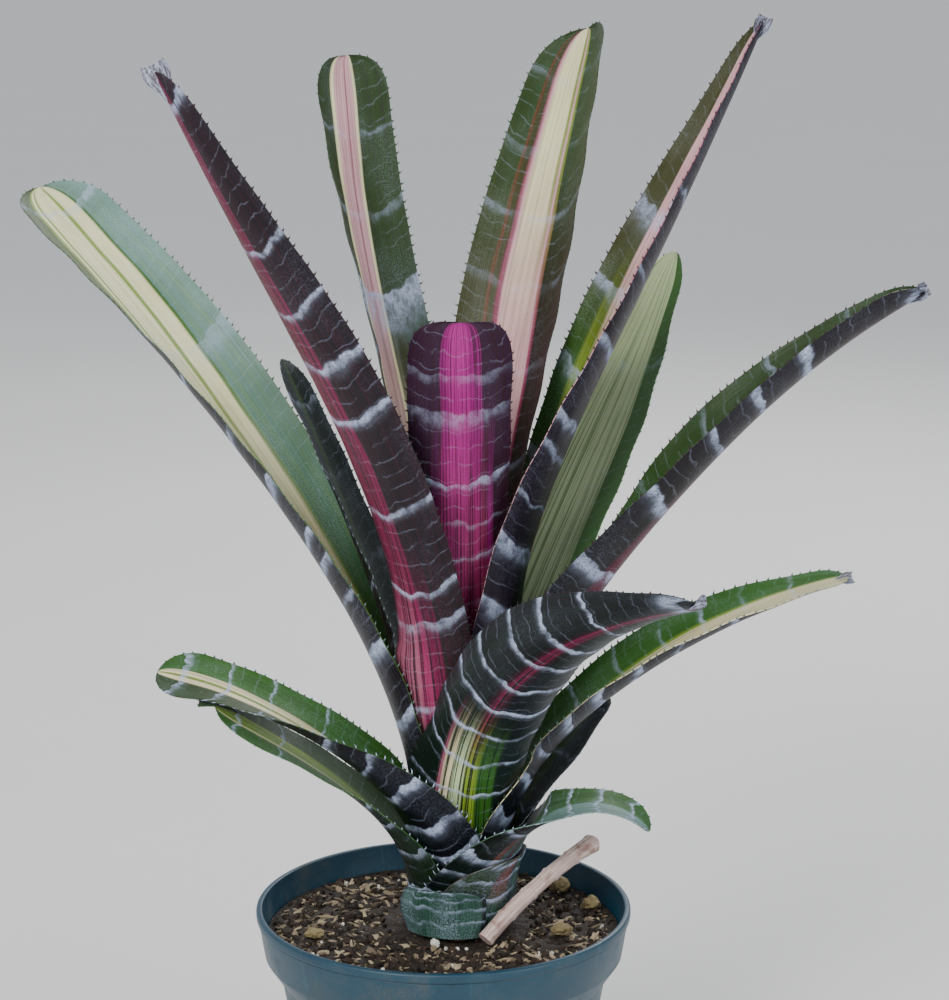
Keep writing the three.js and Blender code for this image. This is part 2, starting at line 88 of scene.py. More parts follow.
STUB_RADIUS = 3.6
STUB_END_RADIUS = 4.6
STUB_DRIED = 0.86       # a dried runner's share of its fresh thickness
STUB_HEADING = -70
STUB_CLEAR = 0.8
STUB_RUN = 44
STUB_BACK = 33
STUB_RISE = 29
STUB_BOW = 6

soil_top = POT_HEIGHT - HEADSPACE
band_radius = RIM_RADIUS - BAND_TAPER
body_top_radius = band_radius - SHOULDER_STEP
base_radius = body_top_radius - BODY_TAPER
band_bottom = POT_HEIGHT - BAND_DEPTH
body_top = band_bottom - SHOULDER_DEPTH
lip_inside = RIM_RADIUS - LIP_PROUD - POT_WALL
soil_edge = band_radius - POT_WALL - WALL_CLEARANCE + (lip_inside - band_radius + POT_WALL) * (
    soil_top - band_bottom) / BAND_DEPTH

# The leaves from the heart outwards, as in the CAD: heading and lean at four even stops, width,
# curl and twist at the three after the foot, in mm and degrees.
Leaf = namedtuple("Leaf", "name length heading lean width curl twist blunt wrap slot square",
                  defaults=[TIP_SQUARE])
LEAVES = [
    Leaf("leaf_heart", 220, (-75, -85, -92, -92), (0, 6, 10, 12),
         (41, 42, 42), (90, 70, 50), (8, 14, 5), 0.12, SHEATH_WRAP, "leaf_red", 3.6),
    Leaf("leaf_back_tall", 346, (60, 60, 62, 66), (0, 15, 24, 34),
         (48, 60, 46), (110, 90, 70), (-15, -15, -30), 0.08, SHEATH_WRAP, "leaf_pale", 2.6),
    Leaf("leaf_back_left", 328, (110, 120, 125, 120), (0, 17, 21, 6),
         (40, 43, 36), (110, 90, 30), (18, 20, 8), 0.07, SHEATH_WRAP, "leaf_pale", 3.2),
    Leaf("leaf_right_tall", 356, (10, 11, 14, 16), (0, 17, 26, 25),
         (55, 50, 14), (120, 112, 120), (-18, 0, 0), 0.05, SHEATH_WRAP, "leaf_red"),
    Leaf("leaf_left_tall", 345, (220, 210, 205, 200), (0, 15, 29, 26),
         (52, 49, 15), (100, 100, 140), (5, 10, 5), 0.05, SHEATH_WRAP, "leaf_red"),
    Leaf("leaf_back_right", 272, (48, 48, 46, 44), (0, 30, 35, 28),
         (52, 52, 18), (90, 60, 60), (0, 0, 0), 0.06, SHEATH_WRAP, "leaf_pale"),
    Leaf("leaf_back_short", 220, (144, 142, 140, 135), (0, 21, 28, 36),
         (44, 32, 14), (90, 60, 50), (25, 25, 10), 0.06, SHEATH_WRAP, "leaf_green"),
    Leaf("leaf_right_arching", 305, (-10, -10, -6, -8), (0, 31, 42, 59),
         (56, 52, 28), (120, 130, 130), (-15, 5, -5), 0.06, SHEATH_WRAP, "leaf_red"),
    Leaf("leaf_left_arching", 350, (165, 155, 145, 135), (0, 32, 46, 60),
         (55, 56, 38), (125, 105, 55), (10, 0, -15), 0.06, SHEATH_WRAP, "leaf_pale"),
    Leaf("leaf_front", 225, (-90, -68, -50, -32), (0, 35, 58, 76),
         (50, 44, 24), (130, 125, 55), (-40, -42, -20), 0.06, SHEATH_WRAP, "leaf_red"),
    Leaf("leaf_right_low", 205, (0, 6, 8, 10), (0, 42, 62, 78),
         (44, 38, 12), (110, 100, 50), (-5, 5, 12), 0.05, 160, "leaf_pale"),
    Leaf("leaf_left_low", 158, (225, 186, 170, 166), (0, 41, 63, 84),
         (52, 34, 26), (140, 75, 25), (10, -5, -30), 0.1, SHEATH_WRAP, "leaf_green"),
    Leaf("leaf_right_short", 94, (18, 20, 24, 28), (0, 28, 42, 50),
         (35, 26, 10), (100, 65, 45), (2, 10, 10), 0.08, SHEATH_WRAP, "leaf_green"),
    Leaf("leaf_left_short", 125, (196, 194, 194, 192), (0, 38, 54, 56),
         (38, 30, 24), (80, 30, 20), (-5, -12, -22), 0.1, 150, "leaf_green"),
    Leaf("leaf_right_hooked", 97, (-45, -18, -6, -8), (0, 32, 76, 140),
         (50, 28, 16), (130, 40, 75), (0, 5, 5), 0.1, SHEATH_WRAP, "leaf_green"),
    Leaf("old_sheath_right", 30, (-38, -34, -30, -26), (0, 5, 6, 8),
         (64, 52, 38), (150, 120, 90), (0, 0, 0), 0.35, SHEATH_WRAP, "old_sheath", 2.6),
    Leaf("old_sheath_front", 21, (-106, -106, -106, -106), (4, 8, 2, -8),
         (33, 34, 32), (95, 105, 100), (0, 0, 0), 0.25, 70, "old_sheath", 3),
]

# ---------------------------------------------------------------- colours, as sRGB hex
COLORS = {
    "plum": "150c16", "maroon": "2c0819", "violet": "2d0c2a", "ink": "0a0c15", "brown": "1f110d",
    "mulberry": "1d1020", "crimson": "760440", "magenta": "8a026a", "orchid": "a81c80",
    "rose": "962a5a", "dusk": "a05a70", "blush": "dba9ad", "cream": "e6dcae", "ivory": "f0ebb8",
    "lime": "7f9a2c", "celery": "c6d8a4", "leafgreen": "33621f", "moss": "2a4217",
    "olive": "3a3a10", "pine": "0c1c15", "seagreen": "2f5644", "silver": "6d8f86",
    "rust": "6a3416", "amber": "6e4a16", "scurf": "ccdafa", "dry": "5c5138",
}


def linear(color):
    """A named colour or sRGB hex as linear RGBA."""
    text = COLORS.get(color, color)
    channels = [int(text[i:i + 2], 16) / 255 for i in (0, 2, 4)]
    return [c / 12.92 if c <= 0.04045 else ((c + 0.055) / 1.055) ** 2.4 for c in channels] + [1.0]


# One side of a leaf. foot and tip are the stripes across the leaf at its two ends, each
# (where it starts, from -1 to 1, colour). lines are (colour, amount). bands are whitish cross
# bands, each (share along the leaf, strength, how far it trails towards the foot). haze is how
# whitish the rest is. turn is where the stripes of the foot turn into those of the tip.
Face = namedtuple("Face", "foot tip lines bands haze turn", defaults=[(0.2, 0.75)])

BAND_UNEVEN = 0.2       # share of a step by which even bands stray
BAND_FADING = 0.3       # share of their strength that comes and goes, each way


def even_bands(first, last, count, strength, trail):
    """Cross bands at slightly uneven steps from first to last."""
    step = (last - first) / count
    bands = []
    for k, share in enumerate(np.linspace(first, last, count)):
        place = share + BAND_UNEVEN * step * math.sin(7.3 * k)
        bands.append((place, strength * (1 - BAND_FADING + BAND_FADING * math.cos(4.1 * k)), trail))
    return bands


def one_face(stripes, lines, bands, haze):
    """A side with the same stripes from foot to tip."""
    return Face(stripes, stripes, lines, bands, haze)


def plain_green(edge="moss", middle="leafgreen"):
    """The upper side of a leaf that turns its back to the front."""
    stripes = [(-1, edge), (-0.3, middle), (-0.1, "lime"), (0.12, middle), (0.3, edge)]
    return one_face(stripes, ("pine", 0.4), even_bands(0.3, 0.9, 5, 0.3, 0.04), 0.2)


def dark_back(count=9, stripe="crimson"):
    """The underside of a leaf that faces the back: dark, banded, with a dull middle stripe."""
    stripes = [(-1, "plum"), (-0.14, stripe), (0.14, "plum")]
    return one_face(stripes, ("ink", 0.5), even_bands(0.12, 0.92, count, 0.8, 0.03), 0.12)


FACES = {
    "leaf_heart": (
        Face([(-1, "maroon"), (-0.56, "magenta"), (-0.42, "rose"), (0.5, "orchid"), (0.62, "maroon")],
             [(-1, "violet"), (-0.38, "magenta"), (-0.26, "orchid"), (0.14, "magenta"), (0.38, "violet")],
             ("maroon", 0.85),
             [(0.47, 0.25, 0.03), (0.555, 0.5, 0.02), (0.62, 0.25, 0.02), (0.7, 0.6, 0.035),
              (0.83, 0.3, 0.08), (0.9, 0.2, 0.05)], 0.06, (0.4, 0.9)),
        plain_green("seagreen", "celery")),
    "leaf_back_tall": (
        dark_back(),
        Face([(-1, "brown"), (-0.26, "rose"), (-0.2, "blush"), (0.4, "rose"), (0.48, "olive"),
              (0.58, "rust"), (0.62, "olive")],
             [(-1, "moss"), (-0.26, "lime"), (-0.2, "blush"), (-0.14, "lime"), (-0.08, "ivory"),
              (0.36, "blush"), (0.42, "dusk"), (0.46, "olive"), (0.58, "rust"), (0.61, "moss")],
             ("olive", 0.3), even_bands(0.45, 0.95, 6, 0.3, 0.03), 0.1, (0.55, 0.88))),
    "leaf_back_left": (
        dark_back(stripe="rust"),
        Face([(-1, "pine"), (-0.5, "amber"), (-0.26, "cream"), (0.9, "amber")],
             [(-1, "moss"), (-0.14, "ivory"), (-0.07, "blush"), (0.12, "dusk"), (0.16, "blush"),
              (0.5, "ivory"), (0.62, "moss")],
             ("violet", 0.3), [(0.52, 0.9, 0.12), (0.7, 1, 0.16), (0.8, 0.3, 0.03), (0.9, 0.3, 0.02)], 0.2)),
    "leaf_right_tall": (
        Face([(-1, "mulberry"), (-0.12, "crimson"), (0.12, "plum")],
             [(-1, "mulberry"), (-0.1, "crimson"), (0.1, "plum")],
             ("ink", 0.5),
             [(0.2, 0.5, 0.04), (0.29, 0.7, 0.05), (0.36, 0.9, 0.05), (0.41, 0.5, 0.01),
              (0.47, 0.6, 0.02), (0.51, 0.9, 0.05), (0.6, 0.8, 0.04), (0.68, 0.5, 0.02),
              (0.78, 0.6, 0.02)], 0.1),
        Face([(-1, "blush"), (-0.2, "cream"), (0.12, "lime"), (0.7, "leafgreen")],
             [(-1, "dusk"), (-0.7, "blush"), (0.5, "olive")],
             ("moss", 0.4), [(0.45, 0.5, 0.05), (0.56, 0.6, 0.05), (0.66, 0.7, 0.04), (0.76, 0.7, 0.08)],
             0.15, (0.5, 0.75))),
    "leaf_left_tall": (
        Face([(-1, "rose"), (-0.35, "dusk"), (0.12, "rose"), (0.3, "crimson"), (0.5, "brown")],
             [(-1, "maroon"), (-0.6, "crimson"), (0.22, "plum")],
             ("maroon", 0.95),
             [(0.1, 0.4, 0.02), (0.2, 0.7, 0.02), (0.3, 0.6, 0.03), (0.34, 0.7, 0.02), (0.44, 0.8, 0.02),
              (0.56, 0.9, 0.03), (0.63, 0.95, 0.03), (0.7, 0.7, 0.02), (0.78, 0.8, 0.02), (0.96, 1, 0.03)],
             0.05, (0.2, 0.42)),
        plain_green()),
    "leaf_back_right": (
        dark_back(stripe="rust"),
        Face([(-1, "leafgreen"), (-0.35, "celery"), (0.7, "cream")],
             [(-1, "leafgreen"), (-0.5, "celery")],
             ("leafgreen", 0.65), [(0.8, 0.2, 0.05)], 0.05)),
    "leaf_back_short": (
        dark_back(7, "brown"),
        one_face([(-1, "pine"), (-0.1, "moss"), (0.2, "pine")],
                 ("ink", 0.4), even_bands(0.4, 0.9, 4, 0.3, 0.04), 0.12)),
    "leaf_right_arching": (
        Face([(-1, "ink"), (-0.44, "crimson"), (-0.05, "plum")],
             [(-1, "plum"), (-0.36, "maroon"), (0, "plum")],
             ("ink", 0.7),
             [(0.24, 1, 0.05), (0.33, 1, 0.05), (0.39, 0.5, 0.01), (0.46, 1, 0.05), (0.58, 1, 0.06),
              (0.68, 0.7, 0.03), (0.75, 0.9, 0.03), (0.83, 1, 0.04), (0.985, 1, 0.04)], 0.08),
        Face([(-1, "olive"), (0.2, "leafgreen")], [(-1, "olive"), (0.2, "moss")],
             ("moss", 0.5), even_bands(0.4, 0.9, 5, 0.4, 0.02), 0.12)),
    "leaf_left_arching": (
        Face([(-1, "ink"), (-0.15, "brown"), (0.1, "plum")], [(-1, "ink"), (-0.15, "plum"), (0.1, "ink")],
             ("ink", 0.4),
             [(0.13, 0.6, 0.02), (0.19, 1, 0.04), (0.27, 1, 0.05), (0.33, 0.6, 0.02), (0.38, 0.9, 0.04),
              (0.41, 1, 0.03), (0.48, 1, 0.05), (0.55, 0.8, 0.04), (0.63, 0.8, 0.03), (0.72, 0.7, 0.03)],
             0.1),
        Face([(-1, "leafgreen"), (-0.45, "lime"), (-0.4, "ivory"), (0.8, "leafgreen")],
             [(-1, "silver"), (-0.42, "leafgreen"), (-0.36, "ivory"), (-0.06, "lime"), (0.02, "ivory"),
              (0.46, "lime"), (0.52, "ivory"), (0.6, "lime"), (0.68, "moss")],
             ("lime", 0.25), [(0.7, 0.35, 0.1), (0.95, 0.5, 0.04)], 0.35)),
    "leaf_front": (
        Face([(-1, "pine"), (-0.44, "dusk"), (-0.36, "cream"), (-0.2, "celery"), (0.0, "lime"),
              (0.2, "leafgreen"), (0.5, "pine")],
             [(-1, "ink"), (-0.1, "maroon"), (-0.02, "crimson"), (0.12, "maroon"), (0.2, "ink")],
             ("pine", 0.95),
             [(0.12, 0.7, 0.02), (0.21, 0.8, 0.02), (0.29, 0.9, 0.02), (0.37, 0.9, 0.02), (0.45, 1, 0.03),
              (0.53, 1, 0.03), (0.62, 1, 0.03), (0.7, 1, 0.03), (0.8, 1, 0.02), (0.97, 1, 0.08)],
             0.06, (0.22, 0.46)),
        plain_green("pine", "moss")),
    "leaf_right_low": (
        one_face([(-1, "ink"), (-0.2, "plum"), (0.2, "ink")],
                 ("plum", 0.4),
                 [(0.16, 1, 0.06), (0.24, 1, 0.06), (0.3, 0.8, 0.04), (0.37, 1, 0.06), (0.45, 1, 0.06),
                  (0.53, 0.9, 0.05), (0.62, 0.7, 0.04), (0.74, 1, 0.04), (0.88, 0.9, 0.03)], 0.07),
        Face([(-1, "cream"), (0.1, "lime"), (0.2, "leafgreen")],
             [(-1, "cream"), (0.3, "lime"), (0.38, "leafgreen")],
             ("leafgreen", 0.6), even_bands(0.4, 0.9, 6, 0.6, 0.03), 0.2)),
    "leaf_left_low": (
        Face([(-1, "ink"), (-0.2, "pine"), (0.3, "ink")], [(-1, "ink"), (0.2, "plum")],
             ("ink", 0.6),
             [(0.06, 0.8, 0.04), (0.14, 1, 0.05), (0.22, 1, 0.06), (0.33, 1, 0.07), (0.42, 0.6, 0.04),
              (0.52, 0.9, 0.05), (0.66, 0.8, 0.04), (0.8, 0.9, 0.04)], 0.08),
        Face([(-1, "leafgreen"), (-0.3, "lime"), (-0.22, "cream"), (0, "leafgreen")],
             [(-1, "leafgreen"), (-0.3, "cream"), (-0.1, "lime"), (0, "cream"), (0.2, "moss")],
             ("moss", 0.5), [(0.55, 0.6, 0.02), (0.7, 0.8, 0.02), (0.82, 1, 0.03), (0.93, 1, 0.05)], 0.15)),
    "leaf_right_short": (
        dark_back(5, "brown"),
        one_face([(-1, "pine"), (0, "moss")],
                 ("ink", 0.4), even_bands(0.4, 0.9, 3, 0.6, 0.05), 0.2)),
    "leaf_left_short": (
        Face([(-1, "ink"), (0.2, "pine")], [(-1, "ink"), (0.2, "plum")],
             ("moss", 0.5), even_bands(0.08, 0.9, 8, 1, 0.06), 0.1),
        Face([(-1, "moss"), (-0.2, "lime"), (0.3, "leafgreen")],
             [(-1, "moss"), (-0.3, "lime"), (0.2, "cream"), (0.3, "leafgreen")],
             ("leafgreen", 0.85), [(0.75, 0.8, 0.03), (0.92, 0.9, 0.04)], 0.1)),
    "leaf_right_hooked": (
        Face([(-1, "pine"), (-0.5, "rust"), (-0.36, "seagreen"), (-0.2, "crimson"), (-0.1, "seagreen"),
              (0.3, "pine")],
             [(-1, "pine"), (-0.1, "moss"), (0.2, "pine")],
             ("ink", 0.8),
             [(0.1, 0.9, 0.08), (0.2, 0.8, 0.06), (0.3, 1, 0.08), (0.45, 0.9, 0.08), (0.62, 0.8, 0.05),
              (0.8, 0.9, 0.05)], 0.25),
        Face([(-1, "leafgreen"), (0.2, "moss")], [(-1, "silver"), (0.2, "leafgreen")],
             ("pine", 0.5),
             [(0.42, 0.9, 0.05), (0.52, 0.9, 0.05), (0.64, 1, 0.05), (0.76, 1, 0.05),
              (0.9, 0.9, 0.05)], 0.25)),
    "old_sheath_right": (
        Face([(-1, "pine"), (-0.3, "seagreen"), (0.3, "brown")],
             [(-1, "moss"), (-0.3, "rust"), (0, "seagreen")],
             ("ink", 0.8), [(0.25, 0.6, 0.2), (0.5, 0.8, 0.2), (0.75, 0.9, 0.2), (0.97, 1, 0.18)], 0.4),
        one_face([(-1, "dry"), (0.3, "brown")], ("brown", 0.5), [(0.9, 0.8, 0.2)], 0.3)),
    "old_sheath_front": (
        Face([(-1, "pine"), (-0.92, "seagreen"), (0.94, "pine")],
             [(-1, "pine"), (-0.9, "seagreen"), (0.92, "pine")],
             ("pine", 0.6), [(0.3, 0.4, 0.2), (0.6, 0.5, 0.25), (0.8, 0.5, 0.15), (0.985, 1, 0.16)], 0.6),
        one_face([(-1, "dry"), (0.2, "brown")], ("brown", 0.5), [(0.9, 0.9, 0.3)], 0.3)),
}


# ---------------------------------------------------------------- material graphs
class Graph:
    """A node material in the making; every call adds one node and returns its output."""

    def __init__(self, name):
        self.material = bpy.data.materials.new(name)
        self.material.use_nodes = True
        self.tree = self.material.node_tree
        self.shader = self.tree.nodes["Principled BSDF"]

    def put(self, socket, value):
        if isinstance(value, bpy.types.NodeSocket):
            self.tree.links.new(value, socket)
        else:
            socket.default_value = value

    def node(self, kind, *inputs, **settings):
        made = self.tree.nodes.new("ShaderNode" + kind)
        for key, value in settings.items():
            setattr(made, key, value)
        for socket, value in zip(made.inputs, inputs):
            if value is not None:
                self.put(socket, value)
        return made

    def math(self, operation, a, b=0.0, c=0.0):
        return self.node("Math", a, b, c, operation=operation).outputs[0]

    def add(self, a, b):
        return self.math("ADD", a, b)

    def mul(self, a, b):
        return self.math("MULTIPLY", a, b)

    def join(self, x, y, z=0.0):
        return self.node("CombineXYZ", x, y, z).outputs[0]

    def split(self, vector):
        return self.node("SeparateXYZ", vector).outputs

    def place(self):
        """Place in the object, in metres."""
        return self.node("TexCoord").outputs["Object"]

    def attribute(self, name):
        """The three values that a mesh keeps at each point."""
        return self.split(self.node("Attribute", attribute_name=name).outputs["Vector"])

    def noise(self, vector, scale, detail=2.0, rough=0.5):
        made = self.node("TexNoise", vector)
        made.inputs["Scale"].default_value = scale
        made.inputs["Detail"].default_value = detail
        made.inputs["Roughness"].default_value = rough
        return made.outputs["Fac"]

    def cells(self, vector, scale):
        made = self.node("TexVoronoi", vector)
        made.inputs["Scale"].default_value = scale
        return made.outputs["Distance"]

    def fit(self, value, low, high, to_low=0.0, to_high=1.0):
        made = self.node("MapRange", value, low, high, to_low, to_high, interpolation_type="SMOOTHSTEP")
        return made.outputs[0]

    def mix(self, factor, a, b):
        made = self.node("Mix", data_type="RGBA")
        for socket, value in zip([made.inputs[0], made.inputs[6], made.inputs[7]], (factor, a, b)):
            self.put(socket, linear(value) if isinstance(value, str) else value)
        return made.outputs[2]

    def shade(self, color, low, high, amount):
        """color darkened to low or lit to high times itself by amount, from 0 to 1."""
        factor = self.fit(amount, 0, 1, low, high)
        made = self.node("VectorMath", color, operation="SCALE")
        self.put(made.inputs["Scale"], factor)
        return made.outputs[0]

    def ramp(self, value, stops):
        """Stops are (position, colour or value), in rising order."""
        made = self.node("ValToRGB", value)
        elements = made.color_ramp.elements
        while len(elements) < len(stops):
            elements.new(1.0)
        for element, (position, entry) in zip(elements, stops):
            element.position = min(max(position, 0), 1)
            element.color = linear(entry) if isinstance(entry, str) else (entry, entry, entry, 1)
        return made.outputs[0]

    def finish(self, color, rough, bump, depth, **constants):
        self.put(self.shader.inputs["Base Color"], color)
        self.put(self.shader.inputs["Roughness"], rough)
        made = self.node("Bump")
        made.inputs["Distance"].default_value = depth
        self.put(made.inputs["Height"], bump)
        self.put(self.shader.inputs["Normal"], made.outputs[0])
        for key, value in constants.items():
            self.shader.inputs[key.replace("_", " ").title().replace("Ior", "IOR")].default_value = value
        return self.material


STRIPE_BLEND = 0.01     # half the blend between two stripes, as a share of the width
BAND_BOW = 0.02         # share of the length that a cross band sags at the leaf's edges
BAND_REACH = 0.8        # share of a band's stated trail that is seen
BAND_RAGGED = 2.2       # mm that a band's edge wanders
HAIR_SPACING = 6.5      # mm between the faint lines that run along with the bands
HAIR_STRENGTH = 0.11
AFTER_BAND = 0.005      # share of the length in which a band ends towards the tip


def stripe_ramp(graph, across, stripes):
    """The stripes' colours by place across the leaf, from 0 to 1."""
    stops = [(0, stripes[0][1])]
    for (_, before), (start, after) in zip(stripes, stripes[1:]):
        middle = (start + 1) / 2
        stops += [(middle - STRIPE_BLEND, before), (middle + STRIPE_BLEND, after)]
    return graph.ramp(across, stops)


def cross_bands(graph, place, bands):
    """How far each point is up the band it lies in, from 0 to 1, and that band's strength."""
    ramp = graph.node("ValToRGB", place)
    elements = ramp.color_ramp.elements
    stops = []
    for share, strength, trail in sorted(bands):
        begin = max(share - trail * BAND_REACH, stops[-1][0] + 0.001 if stops else 0)
        stops += [(begin, 0, strength), (share, 1, strength), (share + AFTER_BAND, 0, strength)]
    while len(elements) < len(stops):
        elements.new(1.0)
    for element, (position, rise, strength) in zip(elements, stops):
        element.position = position
        element.color = (rise, strength, 0, 1)
    rise, strength, _ = graph.node("SeparateColor", ramp.outputs[0]).outputs
    return rise, strength


def leaf_side(name, face, length, seed):
    """Stripes across the leaf, fine lines along it, and whitish scurf in cross bands."""
    g = Graph(name)
    across, along_mm, share = g.attribute("leaf_map")
    sway = g.noise(g.join(seed, g.mul(along_mm, 0.012)), 1, 2)
    shifted = g.fit(g.add(across, g.fit(sway, 0.2, 0.8, -0.05, 0.05)), -1, 1)
    shifted.node.interpolation_type = "LINEAR"
    foot = stripe_ramp(g, shifted, face.foot)
    tip = stripe_ramp(g, shifted, face.tip)
    color = g.mix(g.fit(share, *face.turn), foot, tip)

    threads = g.noise(g.join(g.mul(across, 36), g.mul(along_mm, 0.006), seed), 1, 4, 0.7)
    veins = g.noise(g.join(g.mul(across, 75), g.mul(along_mm, 0.02), seed), 1, 2)
    clouds = g.noise(g.join(g.mul(across, 1.6), g.mul(along_mm, 0.03), seed), 1, 3)
    color = g.mix(g.mul(g.fit(threads, 0.5, 0.56), face.lines[1]), color, face.lines[0])
    color = g.shade(color, 0.8, 1.16, veins)
    color = g.shade(color, 0.75, 1.2, clouds)

    ragged = g.noise(g.join(g.mul(across, 2.2), g.mul(along_mm, 0.06), seed), 1, 3, 0.5)
    bow = g.mul(g.mul(across, across), BAND_BOW)
    wander = BAND_RAGGED / length
    bent = g.add(g.math("SUBTRACT", share, bow), g.fit(ragged, 0.2, 0.8, -wander, wander))
    rise, strength = cross_bands(g, bent, face.bands)
    line = g.fit(rise, 0.5, 0.85)
    bands = g.mul(g.add(g.mul(line, 0.6), g.mul(g.mul(rise, rise), 0.4)), strength)
    hair = g.math("FRACT", g.mul(bent, length / HAIR_SPACING))
    patches = g.noise(g.join(g.mul(across, 4), g.mul(along_mm, 0.1), seed + 3), 1, 3, 0.6)
    hairs = g.mul(g.mul(g.fit(hair, 0.84, 0.97), g.fit(patches, 0.32, 0.5)), HAIR_STRENGTH)
    grain = g.noise(g.join(g.mul(across, 24), along_mm, seed), 1.3, 3, 0.8)
    fuzz = g.mul(g.fit(patches, 0.35, 0.6, 0.25, 1), g.fit(grain, 0.3, 0.6, 0.4, 1))
    scurf = g.mul(g.math("MAXIMUM", bands, hairs), fuzz)
    bloom = g.mul(g.mul(g.fit(clouds, 0.35, 0.75), g.fit(grain, 0.42, 0.7)), face.haze)
    white = g.math("MAXIMUM", scurf, bloom)
    color = g.mix(white, color, "scurf")

    rough = g.fit(white, 0, 0.8, 0.4, 0.85)
    height = g.add(g.mul(veins, 0.5), g.mul(g.mul(white, grain), 1.2))
    return g.finish(color, rough, height, 0.0004, specular_ior_level=0.25)


def tooth_material(name, tip, foot):
    """Horny tooth, of another colour at its tip than at its foot."""
    g = Graph(name)
    reach = g.attribute("leaf_map")[2]
    speckle = g.noise(g.place(), 900, 2)
    color = g.shade(g.mix(g.fit(reach, 0.1, 0.7), foot, tip), 0.7, 1.3, speckle)
    return g.finish(color, g.fit(speckle, 0.3, 0.7, 0.4, 0.6), speckle, 0.0001)


# ---------------------------------------------------------------- mesh helpers
def new_object(name, points, faces, materials, slots=None):
    mesh = bpy.data.meshes.new(name)
    mesh.from_pydata([tuple(p) for p in points], [], [tuple(int(i) for i in f) for f in faces])
    for material in materials:
        mesh.materials.append(material)
    if slots is not None:
        mesh.polygons.foreach_set("material_index", np.asarray(slots, dtype=np.int32))
    mesh.shade_smooth()
    made = bpy.data.objects.new(name, mesh)
    bpy.context.scene.collection.objects.link(made)
    return made


def tidy_normals(made, angle=50):
    """Faces out, and edges sharper than angle kept crisp."""
    work = bmesh.new()
    work.from_mesh(made.data)
    bmesh.ops.recalc_face_normals(work, faces=work.faces)
    work.to_mesh(made.data)
    work.free()
    made.data.set_sharp_from_angle(angle=math.radians(angle))


def apply_modifiers(made):
    """The shown mesh becomes the object's own."""
    evaluated = made.evaluated_get(bpy.context.evaluated_depsgraph_get())
    mesh = bpy.data.meshes.new_from_object(evaluated)
    made.modifiers.clear()
    made.data = mesh


def tube_faces(rings, size, first=0):
    """Quads that join rings of size points each, numbered from first."""
    faces = []
    for ring in range(rings - 1):
        for k in range(size):
            a = first + ring * size + k
            b = first + ring * size + (k + 1) % size
            faces.append((a, b, b + size, a + size))
    return faces


def vector_attribute(made, name, values):
    layer = made.data.attributes.new(name, "FLOAT_VECTOR", "POINT")
    layer.data.foreach_set("vector", np.asarray(values, dtype=np.float32).ravel())


def unit(v):
    return v / np.maximum(np.linalg.norm(v, axis=-1, keepdims=True), 1e-12)


def along(stops, s):
    """Smooth value at share s through evenly spaced stops, as in the CAD."""
    stops = np.asarray(stops, float)
    last = len(stops) - 1
    x = np.clip(s, 0, 1) * last
    i = np.minimum(np.floor(x).astype(int), last - 1)
    f = x - i
    b = stops[i]
    c = stops[i + 1]
    a = np.where(i > 0, stops[np.maximum(i - 1, 0)], 2 * b - c)
    d = np.where(i + 2 <= last, stops[np.minimum(i + 2, last)], 2 * c - b)
    return 0.5 * (2 * b + (c - a) * f + (2 * a - 5 * b + 4 * c - d) * f ** 2
                  + (3 * b - a - 3 * c + d) * f ** 3)


# ---------------------------------------------------------------- leaf surface, as in the CAD
MIDRIB_STEPS = 96
PUSH_ACROSS = 16
SECTORS = 90
TIER = 2
TIERS = 200
SMOOTHING_ROUNDS = 24
EDGE_MARGIN = 1.2
REACH_SECTORS = 2
LEAST_WEIGHT = 0.02
plant = np.array([PLANT_X, PLANT_Y, 0.0])


class Shelf:
    """How far the leaves placed so far reach, by direction round the plant and by height."""

    def __init__(self):
        self.reach = np.zeros((SECTORS, TIERS))

    @staticmethod
    def polar(point):
        d = point - plant
        sector = (np.arctan2(d[..., 1], d[..., 0]) / (2 * math.pi) + 1) * SECTORS
        return sector, (point[..., 2] - soil_top) / TIER, np.hypot(d[..., 0], d[..., 1])

    def at(self, sector, tier):
        i = np.floor(sector - 0.5).astype(int)
        k = np.floor(tier - 0.5).astype(int)
        past_i = sector - 0.5 - i
        past_k = tier - 0.5 - k
        total = np.zeros(sector.shape)
        weights = np.zeros(sector.shape)
        for di, dk, weight in ((0, 0, (1 - past_i) * (1 - past_k)), (1, 0, past_i * (1 - past_k)),
                               (0, 1, (1 - past_i) * past_k), (1, 1, past_i * past_k)):
            row = k + dk
            inside = (row >= 0) & (row < TIERS)
            reach = np.where(inside, self.reach[(i + di) % SECTORS, np.clip(row, 0, TIERS - 1)], 0)
            total += np.where(reach > 0, reach * weight, 0)
            weights += np.where(reach > 0, weight, 0)
        return np.where(weights > LEAST_WEIGHT, total / np.maximum(weights, 1e-9), 0)

    def fill(self, blade):
        s = np.linspace(0, 1, MIDRIB_STEPS * 3 + 1)[:, None]
        u = np.linspace(-1, 1, PUSH_ACROSS * 4 + 1)[None, :] * EDGE_MARGIN
        sector, tier, reach = self.polar(blade.surface(*np.broadcast_arrays(s, u)))
        row = np.floor(tier).astype(int)
        kept = (row >= 0) & (row < TIERS)
        np.maximum.at(self.reach, (np.floor(sector).astype(int)[kept] % SECTORS, row[kept]), reach[kept])

    def reach_near(self, heading):
        """How far out the sheaths reach below the pot's lip, near a direction in degrees."""
        middle = round((heading / 360 + 1) * SECTORS)
        sectors = np.arange(middle - REACH_SECTORS, middle + REACH_SECTORS + 1) % SECTORS
        return self.reach[sectors, :math.ceil(HEADSPACE / TIER)].max()


